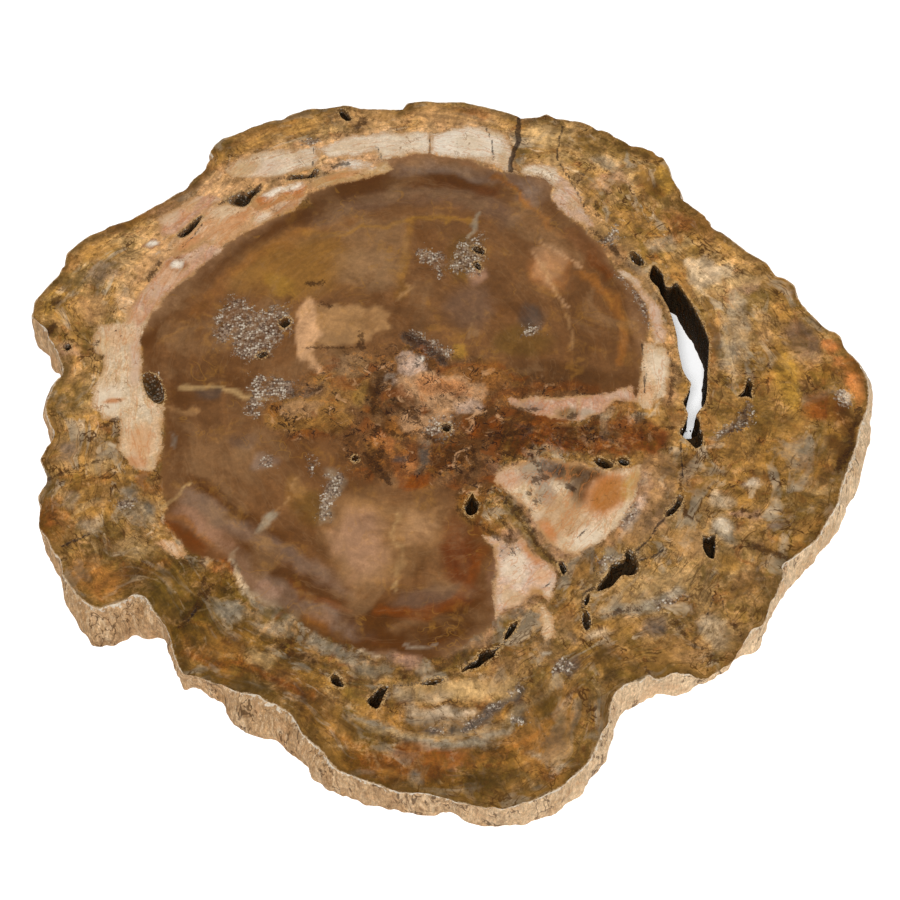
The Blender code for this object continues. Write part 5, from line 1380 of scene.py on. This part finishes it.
def stone_section(tree, given):
    """The stone where it is cut flat, from its attributes: ground, pale pieces, druse, marks and cracks."""
    pale_mark, dark_mark, druse_mark = tree.split(tree.attribute("marks")["Vector"])
    heart_gap, pit_gap, rim_gap = tree.split(tree.attribute("gaps")["Vector"])
    growth = tree.attribute("growth")["Vector"]
    ground = tree.attribute("ground")
    flat = tree.stretched(given["Vector"], 1.0, 1.0, 0.15)
    wander = tree.minus(tree.noise(flat, 0.42, 3.0, 0.68), 0.5)
    shiver = tree.minus(tree.noise(flat, 1.7, 1.0, 0.6), 0.5)

    def ragged(value, broad, fine):
        """The value with its edge moved by a broad and a fine noise."""
        return tree.plus(value, tree.plus(tree.times(wander, broad), tree.times(shiver, fine)))

    wood = wood_colours(tree, ground["Color"], ground["Alpha"], flat, growth, ragged(rim_gap, 6.0, 1.0))
    agate = agate_colours(tree, ground["Color"], ragged(heart_gap, 14.0, 0.0), flat, growth)
    colour = tree.blend(tree.spread(ragged(heart_gap, 4.0, 0.5), -0.8, 0.8), wood, agate)
    broken = tree.attribute("broken")["Fac"]
    strength = tree.times(broken, 0.65)
    colour = tree.effect("mineral_mottle", flat, colour, "umber", "amber", 5.0, strength)["Colour"]
    for fill, shore, length, level, most in (
            ("rust", "umber", 12.0, 0.56, 0.5), ("umber", "soot", 9.0, 0.58, 0.6),
            ("peach", "umber", 6.0, 0.61, 0.6)):
        colour = tree.effect("mineral_islands", flat, colour, fill, shore, length, length, level,
                             tree.times(broken, most))["Colour"]
    splits = tree.effect("mineral_veins", flat, 5.0, 0.014)["Lines"]
    colour = tree.blend(tree.times(splits, broken, 0.8), colour, "soot")

    pale_gap = ragged(pale_mark, 4.0, 1.6)
    pale = tree.attribute("pale_colour")
    pale = pale_wood_colours(tree, pale["Color"], pale["Alpha"], flat, growth, pale_gap)
    colour = tree.toned(colour, pale, pale_gap, -0.7, 0.6, 0.94)

    sparkle = tree.effect("quartz_sparkle", flat, 0.9)
    clumps = tree.noise(flat, 0.2, 3.0, 0.65)
    is_druse = tree.times(
        tree.spread(ragged(druse_mark, 12.0, 6.0), -0.4, 1.4), tree.spread(clumps, 0.36, 0.52, 0.3, 0.8))
    colour = tree.blend(is_druse, colour, sparkle["Colour"])

    is_dark = tree.spread(ragged(dark_mark, 6.0, 3.0), -0.7, 0.6, 0.0, 0.75)
    colour = tree.blend(is_dark, colour, tree.toned("soot", "umber", shiver, -0.12, 0.12))
    is_crack = tree.spread(ragged(tree.attribute("cracks")["Fac"], 1.0, 1.0), -0.25, 0.25)
    colour = tree.blend(tree.times(is_crack, 0.8), colour, "soot")
    chip_tone = tree.toned("umber", "sand", shiver, -0.1, 0.1)
    colour = tree.toned(colour, chip_tone, ragged(pit_gap, 2.4, 2.4), -1.1, -0.4, 0.7)

    hollow = tree.plus(tree.times(is_crack, 0.8), tree.times(is_dark, 0.12))
    return {
        "Colour": colour,
        "Height": tree.minus(tree.times(sparkle["Height"], is_druse, 0.5), hollow),
        "Dullness": tree.plus(tree.times(is_druse, 0.35), tree.times(is_crack, 0.5)),
        "Rim Gap": rim_gap,
    }


# The shared effects: the function that makes each one, and its inputs with a socket kind or a number.
EFFECTS = {
    "mineral_mottle": (mineral_mottle, {
        "Vector": "Vector", "Colour": "Color", "Stain": "Color", "Bleach": "Color", "Size": 8.0,
        "Strength": 1.0}),
    "growth_rings": (growth_rings, {"Growth": "Vector", "Length": 14.0, "Thickness": 4.0, "Line": 0.01}),
    "mineral_veins": (mineral_veins, {"Vector": "Vector", "Size": 8.0, "Line": 0.01}),
    "mineral_islands": (mineral_islands, {
        "Growth": "Vector", "Colour": "Color", "Fill": "Color", "Shore": "Color", "Length": 12.0,
        "Thickness": 6.0, "Level": 0.5, "Strength": 0.6}),
    "quartz_sparkle": (quartz_sparkle, {"Vector": "Vector", "Grain": 1.0}),
    "stone_section": (stone_section, {"Vector": "Vector"}),
}


def shared_effect(name):
    """The shader node group of that name, made the first time that a finish asks for it."""
    if name in bpy.data.node_groups:
        return bpy.data.node_groups[name]
    recipe, inputs = EFFECTS[name]
    group = bpy.data.node_groups.new(name, "ShaderNodeTree")
    for label, value in inputs.items():
        kind = value if isinstance(value, str) else "Float"
        socket = group.interface.new_socket(label, in_out="INPUT", socket_type="NodeSocket" + kind)
        if kind == "Float":
            socket.default_value = value
    outputs = recipe(Tree(group), group.nodes.new("NodeGroupInput").outputs)
    for label in outputs:
        kind = "Color" if label == "Colour" else "Float"
        group.interface.new_socket(label, in_out="OUTPUT", socket_type="NodeSocket" + kind)
    leave = group.nodes.new("NodeGroupOutput")
    for label, value in outputs.items():
        group.links.new(value, leave.inputs[label])
    return group


def polished_finish(settings):
    """The polished face: the section under a clear gloss, paler at the very rim, where a painted highlight
    lies along the chipped rim.
    """
    tree = Finish("polished_face")
    place = tree.place()
    section = tree.effect("stone_section", place)
    # Painted highlight: the face turns cream along the chipped rim.
    rim = tree.plus(section["Rim Gap"], tree.times(tree.noise(place, 0.9, 3.0), 1.6))
    colour = tree.toned(section["Colour"], "cream", rim, 1.3, 0.7, 0.6)
    uneven = tree.noise(place, 0.35, 3.0)
    polish = tree.spread(uneven, 0.3, 0.7, settings.polish - 0.05, settings.polish + 0.07)
    rough = tree.maths("MINIMUM", tree.plus(polish, section["Dullness"]), 0.8)
    return tree.dress({"Base Color": colour, "Roughness": rough, "Specular IOR Level": 0.2},
                      (0.5, 0.4 * MM, section["Height"]))


def edge_finish(settings):
    """The broken edge: tan and cream, painted paler towards the east as if lit from that side, with upright
    grain and a bright line of chips at the rim that is partly a painted highlight.
    """
    tree = Finish("broken_edge")
    place = tree.place()
    # Painted light: the edge turns pale cream towards the east, as if lit more from that side.
    colour = tree.toned((*settings.edge_colour, 1.0), "shell", tree.split(place)[0], -40.0, 90.0, 0.95)
    halved = tree.stretched(place, 1.0, 1.0, 0.5)
    mottle = tree.effect("mineral_mottle", halved, colour, "tan", "shell", 12.0, 0.6)
    streaks = tree.noise(tree.stretched(place, 1.0, 1.0, 0.16), 0.5, 5.0, 0.7, 0.3)
    grain = tree.noise(tree.stretched(place, 1.0, 1.0, 0.2), 1.5, 4.0, 0.7, 0.4)
    colour = tree.toned(mottle["Colour"], "brown", streaks, 0.55, 0.70, 0.5)
    colour = tree.toned(colour, "shell", streaks, 0.49, 0.37, 0.6)
    colour = tree.shaded(colour, grain, 0.3, 0.7, 1.2, 0.74)
    stain = tree.noise(tree.stretched(place, 1.0, 1.0, 0.6), 0.13, 5.0, 0.7, 0.6)
    colour = tree.toned(colour, "brown", stain, 0.58, 0.70, 0.5)
    colour = tree.toned(colour, "peach", stain, 0.46, 0.38, 0.4)
    cracks = tree.effect("mineral_veins", tree.stretched(place, 1.0, 1.0, 0.3), 6.0, 0.012)["Lines"]
    colour = tree.blend(tree.times(cracks, 0.7), colour, "umber")
    # White chips along the top of the edge, partly a painted highlight along the rim.
    uneven = tree.times(tree.noise(place, 0.5, 4.0, 0.65), 9.0)
    chips = tree.spread(tree.plus(tree.split(place)[2], uneven), THICKNESS + 3.4, THICKNESS + 4.6)
    colour = tree.blend(tree.times(chips, 0.8), colour, "white")
    height = tree.plus(tree.times(streaks, 1.6), tree.plus(grain, mottle["Relief"]))
    return tree.dress({"Base Color": colour, "Roughness": 0.9, "Specular IOR Level": 0.08},
                      (1.0, 1.1 * MM, height))


def vug_finish(settings):
    """Inside the vugs and the opening: tan quartz at the lip, brown and then nearly black with depth, which
    is painted shade in the hollow.
    """
    tree = Finish("vug_lining")
    place = tree.place()
    sparkle = tree.effect("quartz_sparkle", place, 1.1)
    # Painted shade: the lining darkens from its half-umber lip to nearly black with depth, and its pale
    # grains fade out deep down.
    uneven = tree.times(tree.minus(tree.noise(place, 0.4, 4.0, 0.65), 0.5), 4.0)
    depth = tree.minus(tree.plus(tree.split(place)[2], uneven), THICKNESS)
    lip = tree.blend(0.5, tree.attribute("ground")["Color"], "umber")
    streaks = tree.noise(tree.stretched(place, 1.0, 1.0, 0.25), 0.7, 4.0, 0.7, 0.4)
    deep = tree.toned((*settings.vug_shade_colour, 1.0), "umber", streaks, 0.48, 0.66)
    colour = tree.toned(lip, deep, depth, 0.3, -2.8)
    grains = tree.times(tree.spread(sparkle["Height"], 0.15, 0.6), tree.spread(depth, -3.5, 0.0, 0.0, 0.7))
    colour = tree.blend(grains, colour, sparkle["Colour"])
    return tree.dress({"Base Color": colour, "Roughness": 0.9, "Specular IOR Level": 0.05},
                      (1.0, 0.9 * MM, sparkle["Height"]))


def underside_finish():
    """The sawn underside: the same markings, dull, with the saw's shallow lines."""
    tree = Finish("sawn_underside")
    place = tree.place()
    section = tree.effect("stone_section", place)
    dusty = tree.blend(0.38, section["Colour"], "sand")
    saw_lines = {"Vector": place, "Scale": 0.095, "Distortion": 0.6, "Detail": 1.0, "Detail Scale": 2.0}
    waves = tree.add("ShaderNodeTexWave", saw_lines, wave_type="BANDS", bands_direction="Y").outputs["Fac"]
    colour = tree.toned(dusty, "olive", waves, 0.2, 0.9, 0.10)
    height = tree.plus(tree.times(waves, 0.3), section["Height"])
    return tree.dress({"Base Color": colour, "Roughness": 0.78, "Specular IOR Level": 0.3},
                      (0.4, 0.3 * MM, height))


def quartz_finish(settings):
    """The crystals: clear tan quartz, with painted shade that darkens them where they stand deep in a vug."""
    tree = Finish("vug_quartz")
    place = tree.place()
    sparkle = tree.effect("quartz_sparkle", place, 1.6)
    colour = tree.blend(0.2, (*settings.colour, 1.0), sparkle["Colour"])
    # Painted shade: the crystals turn nearly black the deeper they stand.
    height = tree.split(place)[2]
    colour = tree.toned(colour, "soot", height, THICKNESS - 0.2, THICKNESS - 1.8, 0.96)
    return tree.dress({"Base Color": colour, "Roughness": 0.18})


class OBJECT_OT_add_stone(bpy.types.Operator):
    """Build the slice of petrified wood"""

    bl_idname = "stone.add_slice"
    bl_label = "Petrified wood slice"

    def execute(self, context):
        settings = context.scene.stone_settings
        rings = rough_edge_rings(settings.rim_steps, settings.edge_roughness / MM)
        stone = ring_solid("petrified_slice", rings)
        low = np.array(CAD_LOW[:2]) / MM - SLAB_MARGIN
        high = np.array(CAD_HIGH[:2]) / MM + SLAB_MARGIN
        face_step, floor_step = settings.grain_step / MM, settings.floor_step / MM
        cut(stone, grid_slab("face_slab", low, high, face_step, -SLAB_DEPTH, True), "INTERSECT")
        floor_slab = grid_slab("floor_slab", low, high, floor_step, THICKNESS + SLAB_DEPTH, False)
        cut(stone, floor_slab, "INTERSECT")
        cut(stone, opening_cutter(), "DIFFERENCE")
        for outline, depth, floor in VUGS:
            cut(stone, ring_solid("cut_vug", vug_rings(outline, depth, floor)), "DIFFERENCE")
        mesh = stone.data
        mesh.name = stone.name
        mark_stone(mesh)
        mesh.materials.clear()
        for material in (
                polished_finish(settings), edge_finish(settings), vug_finish(settings), underside_finish()):
            mesh.materials.append(material)
        self.split_faces(mesh)
        mesh.shade_smooth()
        mesh.set_sharp_from_angle(angle=SHARP_ANGLE)
        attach(stone, "root")
        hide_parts("wood_slice")
        return {"FINISHED"}

    def split_faces(self, mesh):
        """Gives each face its finish: 0 polished, 1 broken edge, 2 vug, 3 underside."""
        normals, middles = (np.empty(len(mesh.polygons) * 3, np.float32) for _ in range(2))
        mesh.polygons.foreach_get("normal", normals)
        mesh.polygons.foreach_get("center", middles)
        up = normals.reshape(-1, 3)[:, 2]
        middles = middles.reshape(-1, 3) / MM
        finish = np.ones(len(middles), np.int32)
        finish[widest(middles[:, :2] - CENTRE, PITS) > -PIT_MARGIN] = 2
        finish[(up > LEVEL_NORMAL) & (middles[:, 2] > THICKNESS - LEVEL_MARGIN)] = 0
        finish[(up < -LEVEL_NORMAL) & (middles[:, 2] < LEVEL_MARGIN)] = 3
        mesh.polygons.foreach_set("material_index", finish)


class OBJECT_OT_add_quartz(bpy.types.Operator):
    """Build the small quartz crystals that line the vugs"""

    bl_idname = "stone.add_quartz"
    bl_label = "Quartz in the vugs"

    def execute(self, context):
        settings = context.scene.quartz_settings
        chance = np.random.default_rng(7)
        roots, aims = [], []
        for outline, depth, floor in VUGS:
            if depth < CRYSTAL_DEPTH:
                continue
            count = max(6, int(length_round(outline) * settings.count_per_mm))
            curve = spaced_points(outline, steps=(count,))
            middle = curve.mean(axis=0)
            sunk = chance.uniform(0.08, 0.5, count)
            share = 1.0 - (1.0 - floor) * sunk * 0.8
            spot = middle + (curve - middle) * share[:, None]
            inward = middle - spot
            inward /= np.maximum(np.linalg.norm(inward, axis=1, keepdims=True), 1e-6)
            inward += chance.normal(0.0, 0.35, inward.shape)
            roots.append(np.column_stack([spot - 0.25 * inward, THICKNESS - depth * sunk - 0.6]))
            aims.append(np.column_stack([inward, chance.uniform(0.1, 0.8, count)]))
        roots = np.vstack(roots)
        aims = np.vstack(aims)
        aims /= np.linalg.norm(aims, axis=1, keepdims=True)
        length = settings.length / MM * chance.uniform(0.5, 1.15, len(roots))
        crystals = self.crystal_mesh(roots, aims, length, chance.uniform(0.0, 6.3, len(roots)))
        crystals.data.materials.append(quartz_finish(settings))
        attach(crystals, "root")
        return {"FINISHED"}

    def crystal_mesh(self, roots, aims, length, turn):
        """Six-sided crystals: a prism along each aim to 0.6 of its length, then a point at the full length.
        The radius is 0.28 of the length."""
        side = np.cross(aims, (0.0, 0.0, 1.0))
        side /= np.maximum(np.linalg.norm(side, axis=1, keepdims=True), 1e-6)
        other = np.cross(aims, side)
        angle = turn[:, None] + np.arange(6) * math.pi / 3.0
        around = np.cos(angle)[..., None] * side[:, None] + np.sin(angle)[..., None] * other[:, None]
        foot = roots[:, None] + around * (0.28 * length)[:, None, None]
        shoulder = foot + (aims * 0.6 * length[:, None])[:, None]
        tip = (roots + aims * length[:, None])[:, None]
        points = np.concatenate([foot, shoulder, tip, roots[:, None]], axis=1)
        points[..., 2] = np.minimum(points[..., 2], THICKNESS - 0.15)
        points[..., :2] += CENTRE
        n = np.arange(6)
        m = (n + 1) % 6
        sides = np.stack([n, m, m + 6, n + 6], axis=-1)
        tips = np.stack([n + 6, m + 6, np.full(6, 12)], axis=-1)
        base = np.stack([m, n, np.full(6, 13)], axis=-1)
        first = (np.arange(len(roots)) * 14)[:, None, None]
        faces = (first + sides).reshape(-1, 4).tolist()
        faces += (first + np.concatenate([tips, base])).reshape(-1, 3).tolist()
        return new_object("vug_quartz", points.reshape(-1, 3) * MM, faces)


class OBJECT_OT_add_stage(bpy.types.Operator):
    """Build the floor, the lights and the camera"""

    bl_idname = "stone.add_stage"
    bl_label = "Stage"

    def execute(self, context):
        settings = context.scene.stage_settings
        self.add_floor(settings)
        self.add_lights(context)
        self.add_camera(context, settings)
        return {"FINISHED"}

    def add_floor(self, settings):
        around = ((-1, -1), (1, -1), (1, 1), (-1, 1))
        corners = [(x * FLOOR_HALF, y * FLOOR_HALF, FLOOR_Z) for x, y in around]
        floor = new_object("floor", corners, [[0, 1, 2, 3]])
        floor.data.materials.append(Finish("pale_floor").dress({
            "Base Color": (*settings.floor_colour, 1.0), "Emission Color": (1.0, 1.0, 1.0, 1.0),
            "Emission Strength": settings.floor_glow, "Roughness": 0.9, "Specular IOR Level": 0.1}))

    def add_lights(self, context):
        world = bpy.data.worlds.new("soft_room")
        world.use_nodes = True
        sky = world.node_tree.nodes["Background"]
        sky.inputs["Color"].default_value = (1.0, 1.0, 1.0, 1.0)
        sky.inputs["Strength"].default_value = ROOM_LIGHT
        context.scene.world = world
        for name, place, size, power in LAMPS:
            lamp = bpy.data.lights.new(name, "AREA")
            lamp.shape = "SQUARE"
            lamp.size = size
            lamp.energy = power
            self.aimed(context, name, lamp, Vector(place), -Vector(place))
        context.scene.view_settings.view_transform = "Standard"

    def add_camera(self, context, settings):
        camera = bpy.data.cameras.new("camera")
        camera.lens = settings.lens
        camera.sensor_width = 36.0
        aim = Vector(((CAMERA_AIM[0] + CENTRE[0]) * MM, (CAMERA_AIM[1] + CENTRE[1]) * MM, THICKNESS * MM))
        angle = settings.camera_elevation
        back = Vector((0.0, -math.cos(angle), math.sin(angle)))
        place = aim + back * settings.camera_distance
        context.scene.camera = self.aimed(context, "camera", camera, place, -back)

    def aimed(self, context, name, data, place, towards):
        """A lamp or camera at the place, pointing that way."""
        made = bpy.data.objects.new(name, data)
        made.location = place
        made.rotation_euler = towards.to_track_quat("-Z", "Y").to_euler()
        context.scene.collection.objects.link(made)
        return made


class VIEW3D_PT_stone(bpy.types.Panel):
    """Sizes, colours and buttons of the petrified wood slice"""

    bl_label = "Petrified Wood Slice"
    bl_idname = "VIEW3D_PT_stone"
    bl_space_type = "VIEW_3D"
    bl_region_type = "UI"
    bl_category = "Stone"

    def draw(self, context):
        scene = context.scene
        for group, operator in (
            (scene.stone_settings, "stone.add_slice"),
            (scene.quartz_settings, "stone.add_quartz"),
            (scene.stage_settings, "stone.add_stage"),
        ):
            box = self.layout.box()
            for name in group.__annotations__:
                box.prop(group, name)
            box.operator(operator)


CLASSES = (
    StoneSettings, QuartzSettings, StageSettings, OBJECT_OT_add_stone, OBJECT_OT_add_quartz,
    OBJECT_OT_add_stage, VIEW3D_PT_stone,
)


def register():
    for kind in CLASSES:
        bpy.utils.register_class(kind)
    bpy.types.Scene.stone_settings = PointerProperty(type=StoneSettings)
    bpy.types.Scene.quartz_settings = PointerProperty(type=QuartzSettings)
    bpy.types.Scene.stage_settings = PointerProperty(type=StageSettings)


def unregister():
    del bpy.types.Scene.stage_settings
    del bpy.types.Scene.quartz_settings
    del bpy.types.Scene.stone_settings
    for kind in reversed(CLASSES):
        bpy.utils.unregister_class(kind)


def main():
    register()
    bpy.ops.stone.add_slice()
    bpy.ops.stone.add_quartz()
    bpy.ops.stone.add_stage()


if __name__ == "__main__":
    main()
